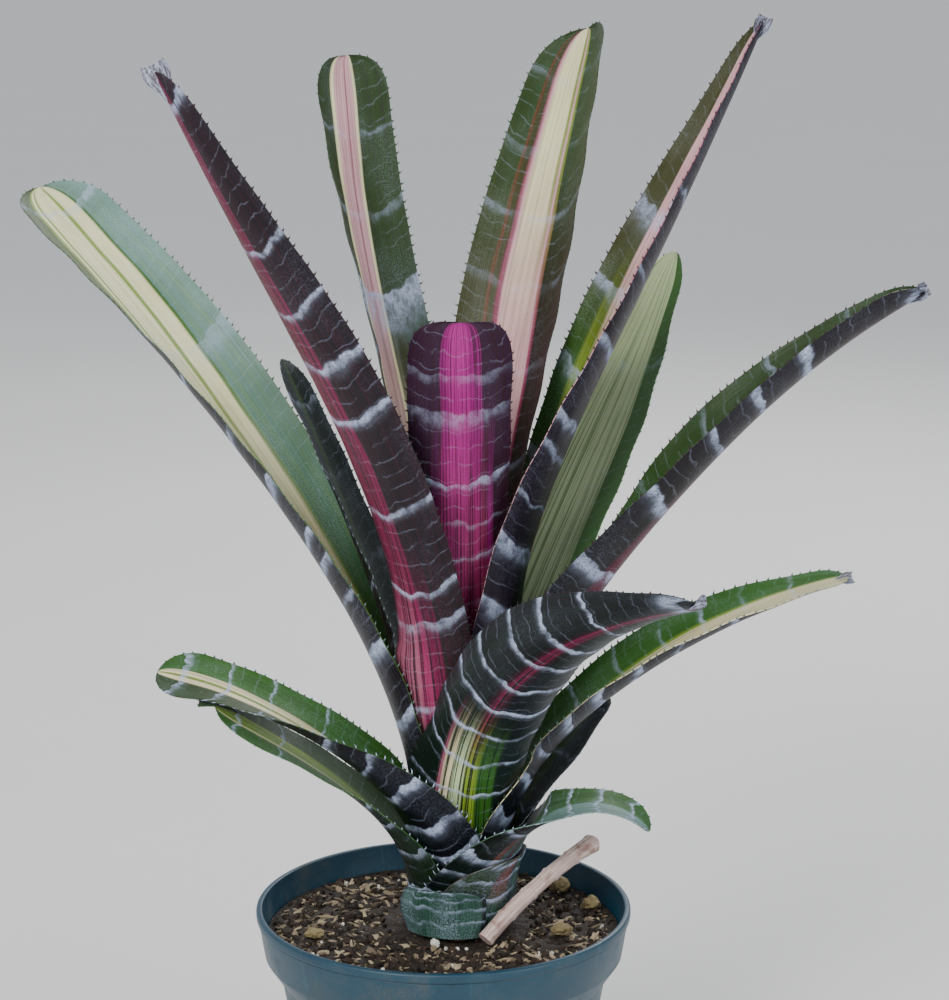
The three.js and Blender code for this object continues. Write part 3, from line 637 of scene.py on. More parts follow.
class Blade:
    """The middle surface of a leaf: s runs from foot to tip, u from -1 to 1 across."""

    def __init__(self, leaf, index, shelf):
        self.leaf = leaf
        self.radius = HEART_RADIUS + index * SHEATH_STEP
        foot = soil_top + SOIL_RISE + LOWEST_FOOT + (len(LEAVES) - 1 - index) * FOOT_STEP
        s = np.linspace(0, 1, MIDRIB_STEPS + 1)
        start = math.radians(leaf.heading[0])
        first = plant + [self.radius * math.cos(start), self.radius * math.sin(start), foot]
        steps = self.direction(s[1:] - 0.5 / MIDRIB_STEPS) * leaf.length / MIDRIB_STEPS
        self.points = np.vstack([first, first + np.cumsum(steps, 0)])
        tangent = self.direction(s)
        heading = np.radians(along(leaf.heading, s))
        level = np.stack([-np.sin(heading), np.cos(heading), np.zeros_like(s)], -1)
        upper = unit(np.cross(tangent, level))
        side = np.cross(upper, tangent)
        twist = np.radians(along([0, *leaf.twist], s))[:, None]
        self.side = side * np.cos(twist) + upper * np.sin(twist)
        self.upper = upper * np.cos(twist) - side * np.sin(twist)
        self.push = None
        self.push = self.push_field(shelf)

    def direction(self, s):
        lean = np.radians(along(self.leaf.lean, s))
        heading = np.radians(along(self.leaf.heading, s))
        return np.stack([np.sin(lean) * np.cos(heading), np.sin(lean) * np.sin(heading), np.cos(lean)], -1)

    def width(self, s):
        full = along([math.radians(self.leaf.wrap) * self.radius, *self.leaf.width], s)
        e = np.clip((1 - s) / self.leaf.blunt, 0, 1)
        square = self.leaf.square
        return np.maximum(full * (1 - (1 - e) ** square) ** (1 / square), POINT_WIDTH)

    def surface(self, s, u):
        x = np.clip(s, 0, 1) * MIDRIB_STEPS
        k = np.minimum(np.floor(x).astype(int), MIDRIB_STEPS - 1)
        f = (x - k)[..., None]
        middle, side, upper = (v[k] * (1 - f) + v[k + 1] * f for v in (self.points, self.side, self.upper))
        curl = np.radians(np.maximum(along([self.leaf.wrap, *self.leaf.curl], s), 2))
        radius = (self.width(s) / curl)[..., None]
        angle = (u * curl / 2)[..., None]
        point = middle + unit(side) * radius * np.sin(angle) + unit(upper) * radius * (1 - np.cos(angle))
        if self.push is None:
            return point
        y = np.clip((u + 1) / 2, 0, 1) * PUSH_ACROSS
        j = np.minimum(np.floor(y).astype(int), PUSH_ACROSS - 1)
        g = y - j
        f = f[..., 0]
        push = ((self.push[k, j] * (1 - g) + self.push[k, j + 1] * g) * (1 - f)
                + (self.push[k + 1, j] * (1 - g) + self.push[k + 1, j + 1] * g) * f)
        return point + unit((point - plant) * [1, 1, 0]) * push[..., None]

    def push_field(self, shelf):
        s = np.linspace(0, 1, MIDRIB_STEPS + 1)[:, None]
        u = np.linspace(-1, 1, PUSH_ACROSS + 1)[None, :]
        sector, tier, reach = shelf.polar(self.surface(*np.broadcast_arrays(s, u)))
        least = shelf.at(sector, tier)
        need = np.where(least > 0, np.maximum(0, least + LEAF_GAP + LEAF_THICKNESS - reach), 0)
        push = need.copy()
        for _ in range(SMOOTHING_ROUNDS):
            p = np.pad(push, 1, mode="edge")
            push = np.maximum(need, (p[:-2, 1:-1] + p[2:, 1:-1] + p[1:-1, :-2] + p[1:-1, 2:]) / 4)
        return push


# ---------------------------------------------------------------- leaf pieces
COLUMNS = 20
COLUMN_CROWDING = 1.25  # radians of a sine that draws the columns towards the edges
ROW_LENGTH = 2.4        # mm of leaf per row of points
LEAST_ROWS = 12
TIP_ROWS = 14
TIP_FADE = 0.02         # share of the length in which a leaf thins towards its tip
TIP_THINNEST = 0.3      # and its thickness there against the rest
EDGE_THICKNESS = 0.4    # a leaf thins from its middle to its edges
WAVE_HEIGHT = 0.35      # gentle waves along the edges
WAVE_LENGTH = 31
TOOTH_SPACING = 4.1
TOOTH_BASE = 1.3
FIRST_TOOTH = (0.1, 6)  # share of the edge and mm from the foot to the first tooth
LAST_TOOTH = 1.5        # mm from the last tooth to the tip, at least
# Rings of a tooth: how far out, how long and how thick, as shares of its length and of its base.
TOOTH_RINGS = ((-0.25, 1.0, 1.0), (0.3, 0.55, 0.75), (0.7, 0.22, 0.35))
LEAF_SEED = 3.7
UPPER_SEED = 1.9


def leaf_rows(leaf):
    """Shares along the leaf, closer together in the rounded tip."""
    rows = max(int(leaf.length / ROW_LENGTH), LEAST_ROWS)
    body = np.linspace(0, 1 - leaf.blunt, rows, endpoint=False)
    tip = 1 - leaf.blunt * (1 - np.sin(np.linspace(0, math.pi / 2, TIP_ROWS)))
    return np.concatenate([body, tip])


def leaf_grid(blade, seed):
    """Middle surface points and their normals to the upper side, rows by columns."""
    s = leaf_rows(blade.leaf)[:, None]
    u = np.sin(np.linspace(-1, 1, COLUMNS + 1) * COLUMN_CROWDING) / math.sin(COLUMN_CROWDING)
    s, u = np.broadcast_arrays(s, u[None, :])
    points = blade.surface(s, u)
    normals = unit(np.cross(np.gradient(points, axis=0), np.gradient(points, axis=1)))
    mm = s * blade.leaf.length
    wave = WAVE_HEIGHT * np.abs(u) ** 3 * np.sin(mm * 2 * math.pi / WAVE_LENGTH + seed + 2 * np.sign(u))
    return s, u, points + normals * wave[..., None], normals


def at_length(line, lengths, at):
    """The point that lies a given length along a polyline."""
    return np.array([np.interp(at, lengths, line[:, axis]) for axis in range(3)])


def tooth_edge(points, column, length, rng):
    """Teeth along one edge: points, faces and how far along each tooth a point lies."""
    edge = points[:, column]
    inner = points[:, column - 2 if column else 2]
    lengths = np.concatenate([[0], np.cumsum(np.linalg.norm(np.diff(edge, axis=0), axis=1))])
    out_points, out_faces, out_reach = [], [], []
    at = FIRST_TOOTH[0] * lengths[-1] + FIRST_TOOTH[1]
    while at < lengths[-1] - LAST_TOOTH:
        here = at_length(edge, lengths, at)
        outward = unit(here - at_length(inner, lengths, at))
        ahead = unit(at_length(edge, lengths, at + 1) - here)
        outward = unit(outward - ahead * np.dot(outward, ahead))
        across = np.cross(ahead, outward)
        share_left = (lengths[-1] - at) / lengths[-1]
        size = length * rng.uniform(0.75, 1.2) * min(1, 0.45 + 3 * share_left)
        lean = rng.uniform(0.35, 0.8)
        skew = rng.uniform(-0.25, 0.25)
        base = len(out_points)
        for reach, half_width, half_height in TOOTH_RINGS:
            hook = ahead * lean * size * max(reach, 0) ** 2
            middle = here + outward * reach * size + hook + across * skew * reach
            for a, b in ((-1, 0), (0, 1), (1, 0), (0, -1)):
                out_points.append(middle + ahead * a * half_width * TOOTH_BASE / 2
                                  + across * b * half_height * EDGE_THICKNESS / 2)
                out_reach.append(max(reach, 0))
        out_points.append(here + outward * size + ahead * lean * size + across * skew)
        out_reach.append(1)
        out_faces += tube_faces(len(TOOTH_RINGS), 4, base)
        for k in range(4):
            out_faces.append((base + 8 + k, base + 8 + (k + 1) % 4, base + 12))
        out_faces.append((base + 3, base + 2, base + 1, base))
        at += TOOTH_SPACING * rng.uniform(0.75, 1.25)
    return out_points, out_faces, out_reach


# Shrivelled leaf ends: size in mm, then how far each rolls up, hooks over and turns, in degrees.
DRY_ROWS = 26
DRY_COLUMNS = 16
DRY_OVERLAP = 0.8       # share of a scrap that lies along the leaf's own tip
DRY_THICKNESS = 0.4
DRY_LIFT = 0.6          # how much a hook raises the scrap
DRY_CRUMPLE = 0.06      # height of its creases, as a share of its length
DRY_TIPS = {"leaf_left_tall": (14, 95, 35, 70), "leaf_right_tall": (10, 110, 60, 70),
            "leaf_right_arching": (9, 100, 40, 70), "leaf_right_low": (7, 100, 40, 70),
            "leaf_front": (8, 100, 30, 40)}

# Each: colour of a tooth's tip, of its foot, and its length in mm.
TEETH = {"leaf_red": ("ink", "maroon", 1.5), "leaf_pale": ("silver", "moss", 2.1),
         "leaf_green": ("scurf", "moss", 2.1)}


def sheet(points, normals, half, place):
    """Closed sheet round a middle surface: points, their map, faces, and each face's side."""
    rows, columns = half.shape
    under = points - normals * half[..., None]
    over = points + normals * half[..., None]
    ring = np.concatenate([under, over[:, ::-1]], axis=1)
    maps = np.concatenate([place, place[:, ::-1]], axis=1)
    size = 2 * columns
    faces = tube_faces(rows, size)
    sides = ([0] * (columns - 1) + [1] * (columns + 1)) * (rows - 1)
    top = (rows - 1) * size
    for j in range(columns - 1):
        faces.append((j, size - 1 - j, size - 2 - j, j + 1))
        faces.append((top + j, top + j + 1, top + size - 2 - j, top + size - 1 - j))
        sides += [1, 1]
    return [*ring.reshape(-1, 3)], [*maps.reshape(-1, 3)], faces, sides


def leaf_piece(leaf, index, shelf):
    """One leaf: a thin closed sheet with its own two sides, and teeth along its edges."""
    blade = Blade(leaf, index, shelf)
    shelf.fill(blade)
    s, u, middle, normals = leaf_grid(blade, index)
    fade = np.clip((1 - s) / TIP_FADE, TIP_THINNEST, 1)
    half = (LEAF_THICKNESS - (LEAF_THICKNESS - EDGE_THICKNESS) * np.abs(u) ** 4) / 2 * fade
    points, maps, faces, slots = sheet(middle, normals, half, np.stack([u, s * leaf.length, s], -1))
    under_face, over_face = FACES[leaf.name]
    seed = LEAF_SEED * index
    materials = [leaf_side(leaf.name + "_under", under_face, leaf.length, seed),
                 leaf_side(leaf.name + "_upper", over_face, leaf.length, seed + UPPER_SEED)]
    if leaf.slot in TEETH:
        tooth_tip, tooth_foot, tooth_length = TEETH[leaf.slot]
        materials.append(tooth_material(leaf.name + "_teeth", tooth_tip, tooth_foot))
        rng = np.random.default_rng(100 + index)
        for column in (0, middle.shape[1] - 1):
            more, more_faces, reach = tooth_edge(middle, column, tooth_length, rng)
            offset = len(points)
            points += more
            maps += [np.array([0, 0, r]) for r in reach]
            faces += [tuple(offset + k for k in f) for f in more_faces]
            slots += [2] * len(more_faces)
    made = new_object(leaf.name + "_blade", np.array(points) * MM, faces, materials, slots)
    vector_attribute(made, "leaf_map", maps)
    tidy_normals(made)
    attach(made, "root")
    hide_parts(leaf.name)
    return blade


def dry_material():
    """Dead leaf end: whitish grey, darkened by painted shade in the creases of its bump."""
    g = Graph("dry_tip_skin")
    across, _, share = g.attribute("leaf_map")
    creases = g.noise(g.join(g.mul(across, 3), g.mul(share, 1.5)), 1.6, 4, 0.7)
    fuzz = g.noise(g.place(), 900, 3, 0.7)
    # painted shade: the dark grey 54494f fills the low creases of the bump and the pale grey its ridges
    color = g.mix(g.fit(creases, 0.4, 0.62), "54494f", "a9b2c8")
    color = g.mix(g.mul(g.fit(fuzz, 0.5, 0.7), 0.6), color, "scurf")
    return g.finish(color, g.fit(fuzz, 0.3, 0.7, 0.6, 0.9), g.add(creases, fuzz), 0.0004)


def dry_tip(blade, size, roll, hook, turned_by, material):
    """The shrivelled end of a leaf: a short flared scrap that rolls up and hooks over."""
    t = np.linspace(0, 1, DRY_ROWS)[:, None]
    v = np.linspace(-1, 1, DRY_COLUMNS)[None, :]
    t, v = np.broadcast_arrays(t, v)
    tip = blade.surface(np.array([1.0]), np.array([0.0]))[0]
    about = math.radians(turned_by)
    side = unit(blade.side[-1]) * math.cos(about) + unit(blade.upper[-1]) * math.sin(about)
    upper = unit(blade.upper[-1]) * math.cos(about) - unit(blade.side[-1]) * math.sin(about)
    ahead = blade.direction(np.array([1.0]))[0]
    bend = math.radians(hook) * t
    run = size * (t - DRY_OVERLAP)
    lift = size * (1 - np.cos(bend)) * DRY_LIFT
    half_width = size * (0.1 + 0.42 * np.sin(np.pi * np.minimum(t, 0.8) / 1.6) ** 2)
    curl = math.radians(roll) * (0.4 + 0.6 * t)
    radius = half_width / curl
    crumple = DRY_CRUMPLE * size * np.sin(5 * v + 7 * t) * np.sin(4 * t + 2 * v) * t
    points = (tip + ahead * (run * np.cos(bend * 0.5))[..., None]
              + side * (radius * np.sin(v * curl))[..., None]
              + upper * (lift + radius * (1 - np.cos(v * curl)) + crumple)[..., None])
    normals = unit(np.cross(np.gradient(points, axis=0), np.gradient(points, axis=1)))
    half = np.full(t.shape, DRY_THICKNESS / 2)
    ring, maps, faces, _ = sheet(points, normals, half, np.stack([v, t * size, t], -1))
    made = new_object(blade.leaf.name + "_dry_tip", np.array(ring) * MM, faces, [material])
    vector_attribute(made, "leaf_map", maps)
    tidy_normals(made)
    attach(made, "root")


shelf = Shelf()
blades = {leaf.name: leaf_piece(leaf, index, shelf) for index, leaf in enumerate(LEAVES)}
dead_skin = dry_material()
for name, shape in DRY_TIPS.items():
    dry_tip(blades[name], *shape, dead_skin)


# ---------------------------------------------------------------- pot
ROUND_STEPS = 160
ARC_STEPS = 5


def arc(center, radius, start, end):
    """Points of a rounded corner, from one angle in degrees to another."""
    return [(center[0] + radius * math.cos(math.radians(a)), center[1] + radius * math.sin(math.radians(a)))
            for a in np.linspace(start, end, ARC_STEPS)]


def turned(name, profile, materials):
    """Closed solid of revolution from (radius, height) points in mm that start and end on the axis."""
    inner = profile[1:-1]
    points = [(0, 0, profile[0][1])]
    for radius, height in inner:
        for k in range(ROUND_STEPS):
            angle = 2 * math.pi * k / ROUND_STEPS
            points.append((radius * math.cos(angle), radius * math.sin(angle), height))
    points.append((0, 0, profile[-1][1]))
    faces = []
    for k in range(ROUND_STEPS):
        following = (k + 1) % ROUND_STEPS
        faces.append((0, 1 + following, 1 + k))
        for row in range(len(inner) - 1):
            a = 1 + row * ROUND_STEPS
            b = a + ROUND_STEPS
            faces.append((a + k, a + following, b + following, b + k))
        last = 1 + (len(inner) - 1) * ROUND_STEPS
        faces.append((last + k, last + following, len(points) - 1))
    return new_object(name, np.array(points) * MM, faces, materials)


def pot_material():
    """Dark teal moulded plastic with fine scuffs, faint mould rings and a little dried dirt."""
    g = Graph("pot_plastic")
    place = g.place()
    x, y, z = g.split(place)
    grain = g.noise(place, 1800, 2)
    patches = g.noise(place, 38, 4, 0.65)
    streaks = g.noise(g.join(g.mul(x, 300), g.mul(y, 300), g.mul(z, 14)), 1, 3, 0.7)
    rings = g.noise(g.join(g.mul(z, 900), 0.0, 0.0), 1, 2)
    dirt = g.mul(g.fit(patches, 0.52, 0.72), g.fit(grain, 0.35, 0.6))
    color = g.mix(g.fit(patches, 0.3, 0.7), "0b3446", "103e50")
    color = g.mix(g.mul(g.fit(streaks, 0.6, 0.72), 0.3), color, "2f6070")
    color = g.mix(g.mul(dirt, 0.4), color, "6b5f4c")
    rough = g.add(g.fit(patches, 0.3, 0.7, 0.36, 0.5), g.mul(dirt, 0.3))
    return g.finish(color, rough, g.add(g.mul(grain, 0.4), g.mul(rings, 0.3)), 0.00012)


LIP_ROUND = 1.1
INNER_LIP_ROUND = 0.6
BASE_ROUND = 2
BODY_EDGE = (0.5, 0.8)  # how much the body's top edge is broken, out and up
LIP_SLOPE = 0.4


def pot():
    """The CAD's pot, with its corners rounded and its drain holes cut."""
    outer_lip = RIM_RADIUS - LIP_ROUND
    inner_lip = lip_inside + INNER_LIP_ROUND
    edge_out, edge_up = BODY_EDGE
    profile = [(0, 0), (base_radius - BASE_ROUND, 0)]
    profile += arc((base_radius - BASE_ROUND, BASE_ROUND), BASE_ROUND, -90, 0)[1:]
    profile += [(body_top_radius, body_top), (body_top_radius + edge_out, body_top + edge_up)]
    profile += [(band_radius - edge_out, band_bottom - edge_up), (band_radius, band_bottom)]
    profile += [(RIM_RADIUS - LIP_PROUD, POT_HEIGHT - LIP_HEIGHT - LIP_SLOPE)]
    profile += arc((outer_lip, POT_HEIGHT - LIP_HEIGHT + LIP_ROUND), LIP_ROUND, -90, 0)
    profile += arc((outer_lip, POT_HEIGHT - LIP_ROUND), LIP_ROUND, 0, 90)
    profile += arc((inner_lip, POT_HEIGHT - INNER_LIP_ROUND), INNER_LIP_ROUND, 90, 180)
    profile += [(band_radius - POT_WALL, band_bottom), (body_top_radius - POT_WALL, body_top),
                (base_radius - POT_WALL, POT_FLOOR), (0, POT_FLOOR)]
    made = turned("pot_shell", profile, [pot_material()])
    cutter_mesh = bmesh.new()
    circle = (base_radius - DRAIN_FROM_EDGE) * MM
    for k in range(DRAIN_HOLES):
        angle = (k + 0.5) / DRAIN_HOLES * 2 * math.pi
        drill = bmesh.ops.create_cone(cutter_mesh, cap_ends=True, segments=32, radius1=DRAIN_RADIUS * MM,
                                      radius2=DRAIN_RADIUS * MM, depth=4 * POT_FLOOR * MM)
        bmesh.ops.translate(cutter_mesh, verts=drill["verts"],
                            vec=(circle * math.cos(angle), circle * math.sin(angle), 0))
    mesh = bpy.data.meshes.new("drills")
    cutter_mesh.to_mesh(mesh)
    cutter_mesh.free()
    cutter = bpy.data.objects.new("drills", mesh)
    bpy.context.scene.collection.objects.link(cutter)
    cut = made.modifiers.new("holes", "BOOLEAN")
    cut.object = cutter
    cut.solver = "EXACT"
    apply_modifiers(made)
    bpy.data.objects.remove(cutter)
    made.data.shade_smooth()
    made.data.set_sharp_from_angle(angle=math.radians(35))
    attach(made, "root")
    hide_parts("pot")


pot()


# ---------------------------------------------------------------- soil
SOIL_RINGS = 64
SOIL_SIDES = 220
CRUMB_HEIGHT = 1.1
FINE_CRUMB_HEIGHT = 0.35
CALM_EDGE = 2           # mm from the pot's wall in which the crumbs level out


def soil_height(x, y):
    return soil_top + SOIL_RISE * (1 - math.hypot(x, y) / soil_edge)


def soil_lumps(x, y):
    """Height of the soil's crumbs above its even surface, in mm."""
    coarse = noise.fractal(Vector((x * 0.16, y * 0.16, 3.0)), 0.9, 2.1, 4)
    fine = noise.fractal(Vector((x * 0.7, y * 0.7, 9.0)), 0.9, 2.1, 3)
    return CRUMB_HEIGHT * coarse + FINE_CRUMB_HEIGHT * fine


def soil_material():
    """Damp peat: near black crumbs, brown fibre, and pale flecks of bark."""
    g = Graph("soil_mix")
    place = g.place()
    crumbs = g.noise(place, 420, 5, 0.7)
    stretched = g.node("VectorMath", place, (900, 260, 500), operation="MULTIPLY").outputs[0]
    fibre = g.noise(stretched, 1, 3, 0.7)
    cell = g.cells(place, 330)
    color = g.mix(g.fit(crumbs, 0.35, 0.65), "14100c", "35281c")
    color = g.mix(g.mul(g.fit(fibre, 0.6, 0.7), 0.6), color, "5d4429")
    color = g.mix(g.mul(g.fit(cell, 0.22, 0.1), g.fit(fibre, 0.5, 0.6)), color, "a08a60")
    rough = g.fit(crumbs, 0.3, 0.7, 0.55, 0.95)
    return g.finish(color, rough, g.add(crumbs, g.mul(fibre, 0.5)), 0.0012)


def soil():
    """The CAD block's shape with a crumbly top; the stem stands in it."""
    points = []
    for ring in range(SOIL_RINGS + 1):
        radius = soil_edge * math.sqrt(ring / SOIL_RINGS) if ring else 0
        count = SOIL_SIDES if ring else 1
        for k in range(count):
            angle = 2 * math.pi * k / SOIL_SIDES
            x = radius * math.cos(angle)
            y = radius * math.sin(angle)
            calm = min(1, (soil_edge - radius) / CALM_EDGE)
            points.append((x, y, soil_height(x, y) + calm * soil_lumps(x, y)))
    faces = [(0, 1 + k, 1 + (k + 1) % SOIL_SIDES) for k in range(SOIL_SIDES)]
    wall = [(band_radius - POT_WALL - WALL_CLEARANCE, band_bottom),
            (body_top_radius - POT_WALL - WALL_CLEARANCE, body_top),
            (base_radius - POT_WALL - WALL_CLEARANCE, POT_FLOOR + CLEARANCE)]
    for radius, height in wall:
        for k in range(SOIL_SIDES):
            angle = 2 * math.pi * k / SOIL_SIDES
            points.append((radius * math.cos(angle), radius * math.sin(angle), height))
    for ring in range(SOIL_RINGS - 1 + len(wall)):
        a = 1 + ring * SOIL_SIDES
        for k in range(SOIL_SIDES):
            b = (k + 1) % SOIL_SIDES
            faces.append((a + k, a + SOIL_SIDES + k, a + SOIL_SIDES + b, a + b))
    points.append((0, 0, POT_FLOOR + CLEARANCE))
    last = 1 + (SOIL_RINGS - 1 + len(wall)) * SOIL_SIDES
    faces += [(last + k, len(points) - 1, last + (k + 1) % SOIL_SIDES) for k in range(SOIL_SIDES)]
    made = new_object("soil_bed", np.array(points) * MM, faces, [soil_material()])
    tidy_normals(made)
    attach(made, "root")
    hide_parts("soil")


soil()


# ---------------------------------------------------------------- loose bits on the soil
BIT_CLEAR = 0.5         # mm between loose bits and the pot or the plant's foot
BIT_SINK = 0.3          # share of a bit's height that lies in the soil
BIT_ROUGHNESS = 0.25    # how far its corners stray, as a share of its size


def unit_lump(detail):
    """Points and faces of a unit ball of triangles."""
    work = bmesh.new()
    bmesh.ops.create_icosphere(work, subdivisions=detail, radius=1)
    points = np.array([v.co[:] for v in work.verts])
    faces = np.array([[v.index for v in f.verts] for f in work.faces])
    work.free()
    return points, faces


def turn(yaw, pitch, roll):
    """Rotation matrix from three angles."""
    cy, sy, cp, sp, cr, sr = (f(a) for a in (yaw, pitch, roll) for f in (math.cos, math.sin))
    about_z = np.array([[cy, -sy, 0], [sy, cy, 0], [0, 0, 1]])
    about_y = np.array([[cp, 0, sp], [0, 1, 0], [-sp, 0, cp]])
    about_x = np.array([[1, 0, 0], [0, cr, -sr], [0, sr, cr]])
    return about_z @ about_y @ about_x


def bit_material(name, dark, light, rough_low, grain_scale):
    """Flecked matt matter; tone, from each bit's own attribute, sets how light it is."""
    g = Graph(name)
    place = g.place()
    tone = g.attribute("tone")[0]
    grain = g.noise(place, grain_scale, 4, 0.7)
    color = g.shade(g.mix(tone, dark, light), 0.6, 1.35, grain)
    return g.finish(color, g.fit(grain, 0.3, 0.7, rough_low, 0.95), grain, 0.0003)


def scatter(name, count, size, shape, material, seed, tilt=0.35):
    """Rough bits lying on the soil. size is a range in mm, shape the bit's proportions."""
    rng = np.random.default_rng(seed)
    ball, ball_faces = unit_lump(1)
    clear = shelf.reach[:, :math.ceil(HEADSPACE / TIER)].max() + BIT_CLEAR
    points, faces, tones = [], [], []
    while len(points) < count:
        radius = soil_edge * math.sqrt(rng.uniform(0.02, 1))
        angle = rng.uniform(0, 2 * math.pi)
        big = rng.uniform(*size) * rng.uniform(0.6, 1)
        x = radius * math.cos(angle)
        y = radius * math.sin(angle)
        at_wall = radius > soil_edge - BIT_CLEAR - big * max(shape)
        if at_wall or math.hypot(x - PLANT_X, y - PLANT_Y) < clear + big:
            continue
        jitter = 1 + rng.uniform(-BIT_ROUGHNESS, BIT_ROUGHNESS, (len(ball), 1))
        matrix = turn(rng.uniform(0, 2 * math.pi), rng.normal(0, tilt), rng.normal(0, tilt))
        body = (ball * jitter * np.array(shape) * big) @ matrix.T
        lift = soil_height(x, y) + soil_lumps(x, y) + big * shape[2] * (1 - 2 * BIT_SINK)
        faces.append(ball_faces + len(points) * len(ball))
        points.append(body + [x, y, lift])
        tones.append(np.full(len(ball), rng.uniform(0, 1)))
    made = new_object(name, np.concatenate(points) * MM, np.concatenate(faces), [material])
    tone = np.concatenate(tones)
    vector_attribute(made, "tone", np.stack([tone, tone, tone], -1))
    tidy_normals(made, 35)
    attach(made, "root")


peat = bit_material("peat_crumb", "17110c", "3a2b1e", 0.7, 900)
chips = bit_material("bark_chip", "463828", "b3a283", 0.65, 700)
grit = bit_material("perlite_bit", "b8b4a8", "f0eee6", 0.8, 1100)
scatter("soil_crumbs", 900, (0.8, 2.6), (1, 0.8, 0.7), peat, 11, tilt=1.0)
scatter("soil_chips", 620, (1.0, 3.8), (1, 0.5, 0.25), chips, 12)
scatter("soil_splinters", 340, (1.8, 5), (1, 0.2, 0.14), chips, 13, tilt=0.3)
scatter("soil_perlite", 46, (0.5, 1.7), (1, 0.9, 0.85), grit, 14, tilt=1.0)


def rough_lump(node, material, seed, wrinkle, facet):
    """A chunk with the CAD piece's box and a broken surface."""
    low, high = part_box(node)
    ball, faces = unit_lump(4)
    points = []
    for p in ball:
        v = Vector(p)
        bulge = noise.fractal(v * 1.1 + Vector((seed, 0, 0)), 1, 2, 3) * wrinkle
        chip = noise.cell(v * 2.2 + Vector((0, seed, 0))) * facet
        points.append(np.array(p) * (1 + bulge + chip))
    points = np.array(points)
    span = points.max(0) - points.min(0)
    points = (points - points.min(0)) / span * np.array(high - low) + np.array(low)
    made = new_object(node + "_rough", points, faces, [material])
    tone = np.full((len(points), 3), random.Random(seed).uniform(0.55, 0.95))
    vector_attribute(made, "tone", tone)
    tidy_normals(made, 40)
    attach(made, "root")
    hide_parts(node)


for k in range(1, 4):
    rough_lump(f"perlite_grain_{k}", grit, 20 + k, 0.3, 0.06)
lump_bark = bit_material("bark_lump", "4a3e28", "93845c", 0.7, 500)
for k in range(1, 5):
    rough_lump(f"bark_chunk_{k}", lump_bark, 40 + k, 0.35, 0.08)


# ---------------------------------------------------------------- stolon stub
def stub_material():
    """A dry runner: pinkish, browner in its wrinkles, with lengthwise fibres and a pale cut."""
    g = Graph("stolon_skin")
    turn_share, along_share, cut = g.attribute("stub_map")
    fibres = g.noise(g.join(g.mul(turn_share, 26), g.mul(along_share, 3)), 1, 4, 0.7)
    patches = g.noise(g.place(), 160, 4, 0.6)
    color = g.mix(g.fit(fibres, 0.4, 0.65), "b8968c", "e8dad0")
    color = g.mix(g.mul(g.fit(patches, 0.5, 0.68), 0.7), color, "82584c")
    color = g.mix(g.mul(cut, g.fit(patches, 0.3, 0.6, 0.5, 1)), color, "e6d8c8")
    return g.finish(color, g.fit(fibres, 0.3, 0.7, 0.55, 0.9), g.add(fibres, patches), 0.0003)


STUB_RINGS = 72
STUB_SIDES = 36
CAP_RINGS = 3
STUB_SCARS = 5
SCAR_HEIGHT = 0.45
WRINKLE_HEIGHT = 0.3
RIDGE_HEIGHT = 0.12
NOTCH_DEPTH = 0.5


def stolon_stub():
    """The CAD's bowed runner, wrinkled and scarred, swelling to a broken end."""
    rings = STUB_RINGS
    sides = STUB_SIDES
    heading = math.radians(STUB_HEADING)
    reach = shelf.reach_near(STUB_HEADING) + STUB_CLEAR + STUB_RADIUS
    x = PLANT_X + reach * math.cos(heading)
    y = PLANT_Y + reach * math.sin(heading)
    start = np.array([x, y, soil_height(x, y) + STUB_RADIUS + CLEARANCE])
    middle = start + [STUB_RUN / 2, STUB_BACK / 2, STUB_RISE / 2 + STUB_BOW]
    end = start + [STUB_RUN, STUB_BACK, STUB_RISE]
    points, maps = [], []
    for i in range(rings + CAP_RINGS + 1):
        t = min(i / rings, 1)
        center = start * (1 - t) ** 2 + 2 * middle * t * (1 - t) + end * t * t
        tangent = unit((middle - start) * (1 - t) + (end - middle) * t)
        side = unit(np.cross(tangent, [0, 0, 1]))
        up = np.cross(side, tangent)
        swell = np.clip((t - 0.75) / 0.25, 0, 1) ** 2
        radius = STUB_DRIED * (STUB_RADIUS + (STUB_END_RADIUS - STUB_RADIUS) * swell)
        inward = max(i - rings, 0)
        for k in range(sides):
            angle = 2 * math.pi * k / sides
            v = Vector((2.2 * math.cos(angle), 2.2 * math.sin(angle), t * 5))
            wrinkle = WRINKLE_HEIGHT * noise.fractal(v, 0.9, 2, 4)
            ridge = RIDGE_HEIGHT * math.sin(9 * angle + 6 * t)
            ringed = math.cos(t * 2 * math.pi * STUB_SCARS + 0.6 * math.sin(angle))
            scar = SCAR_HEIGHT * max(0, ringed) ** 12
            notch = NOTCH_DEPTH * max(0, math.sin(3 * angle + 1)) ** 3 * swell
            r = (radius + wrinkle + ridge + scar) * (1 - 0.24 * inward) - notch
            dip = -0.5 * min(inward, 2) + 0.9 * swell * math.sin(2 * angle + 0.5)
            points.append(center + side * r * math.cos(angle) + up * r * math.sin(angle) + tangent * dip)
            maps.append((abs(k / sides - 0.5) * 2, t, min(inward, 1)))
    points += [np.mean(points[:sides], axis=0), np.mean(points[-sides:], axis=0)]
    maps += [(0, 0, 0), (0, 1, 1)]
    faces = tube_faces(rings + CAP_RINGS + 1, sides)
    foot, cap = len(points) - 2, len(points) - 1
    last = (rings + CAP_RINGS) * sides
    for k in range(sides):
        following = (k + 1) % sides
        faces.append((foot, following, k))
        faces.append((last + k, last + following, cap))
    made = new_object("stolon_runner", np.array(points) * MM, faces, [stub_material()])
    vector_attribute(made, "stub_map", maps)
    tidy_normals(made, 60)
    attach(made, "root")
    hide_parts("stolon_stub")


stolon_stub()


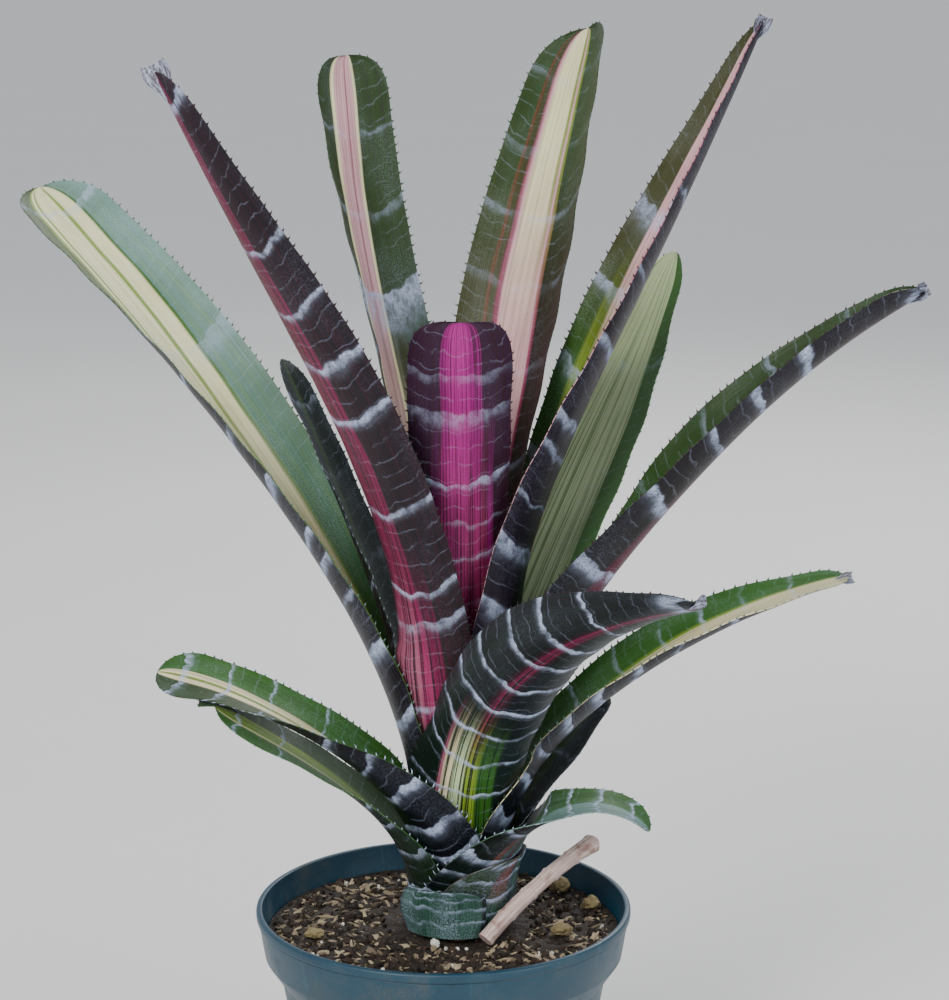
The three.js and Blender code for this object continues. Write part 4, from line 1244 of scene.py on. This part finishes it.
# ---------------------------------------------------------------- stem, kept from the CAD
def stem_material():
    """Fibrous stock, ringed by old leaf scars."""
    g = Graph("stem_fibre")
    place = g.place()
    x, y, z = g.split(place)
    fibres = g.noise(g.join(g.mul(x, 700), g.mul(y, 700), g.mul(z, 60)), 1, 4, 0.7)
    scars = g.noise(g.join(0.0, 0.0, g.mul(z, 500)), 1, 2)
    color = g.shade(g.mix(fibres, "4a3a26", "a08c64"), 0.6, 1.2, scars)
    return g.finish(color, g.fit(fibres, 0.3, 0.7, 0.65, 0.95), g.add(fibres, scars), 0.0006)


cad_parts["stem"].data.materials.clear()
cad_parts["stem"].data.materials.append(stem_material())


# ---------------------------------------------------------------- floor, light and camera
def flat_material(name, low, high):
    """Pale matt paint, faintly mottled."""
    g = Graph(name)
    mottle = g.noise(g.place(), 3, 3)
    return g.finish(g.mix(mottle, low, high), g.fit(mottle, 0, 1, 0.75, 0.9), mottle, 0.0002)


FLOOR_HALF = 30         # metres
FLOOR_DROP = 0.0005     # metres that it lies below the pot
floor = new_object("floor", [(x * FLOOR_HALF, y * FLOOR_HALF, -FLOOR_DROP)
                             for x, y in ((-1, -1), (1, -1), (1, 1), (-1, 1))],
                   [(0, 1, 2, 3)], [flat_material("floor_paint", "e2e1dd", "e8e7e3")])


def area_light(name, place, target, size, power, color=(1, 1, 1)):
    data = bpy.data.lights.new(name, "AREA")
    data.shape = "DISK"
    data.size = size
    data.energy = power
    data.color = color
    light = bpy.data.objects.new(name, data)
    light.location = place
    light.rotation_euler = (Vector(target) - Vector(place)).to_track_quat("-Z", "Y").to_euler()
    bpy.context.scene.collection.objects.link(light)


aim = (0, 0, 0.28)
area_light("key", (-0.7, -1.3, 1.25), aim, 0.7, 24, (1, 0.98, 0.95))
area_light("fill", (1.3, -1.0, 0.7), aim, 1.0, 10, (0.95, 0.97, 1))
area_light("back", (0.5, 1.4, 1.3), aim, 0.9, 14)

world = bpy.data.worlds.new("studio")
world.use_nodes = True
world.node_tree.nodes["Background"].inputs["Color"].default_value = (0.9, 0.93, 1, 1)
world.node_tree.nodes["Background"].inputs["Strength"].default_value = 0.75
bpy.context.scene.world = world

CAMERA_PLACE = (0.0126, -1.0423, 0.514)
CAMERA_PITCH = 77.5     # degrees from straight down
CAMERA_LENS = 97.7      # mm on a 36 mm long side
camera_data = bpy.data.cameras.new("camera")
camera_data.lens = CAMERA_LENS
camera_data.sensor_width = 36
camera_data.clip_end = 100
camera = bpy.data.objects.new("camera", camera_data)
camera.location = CAMERA_PLACE
camera.rotation_euler = (math.radians(CAMERA_PITCH), 0, 0)
bpy.context.scene.collection.objects.link(camera)
bpy.context.scene.camera = camera
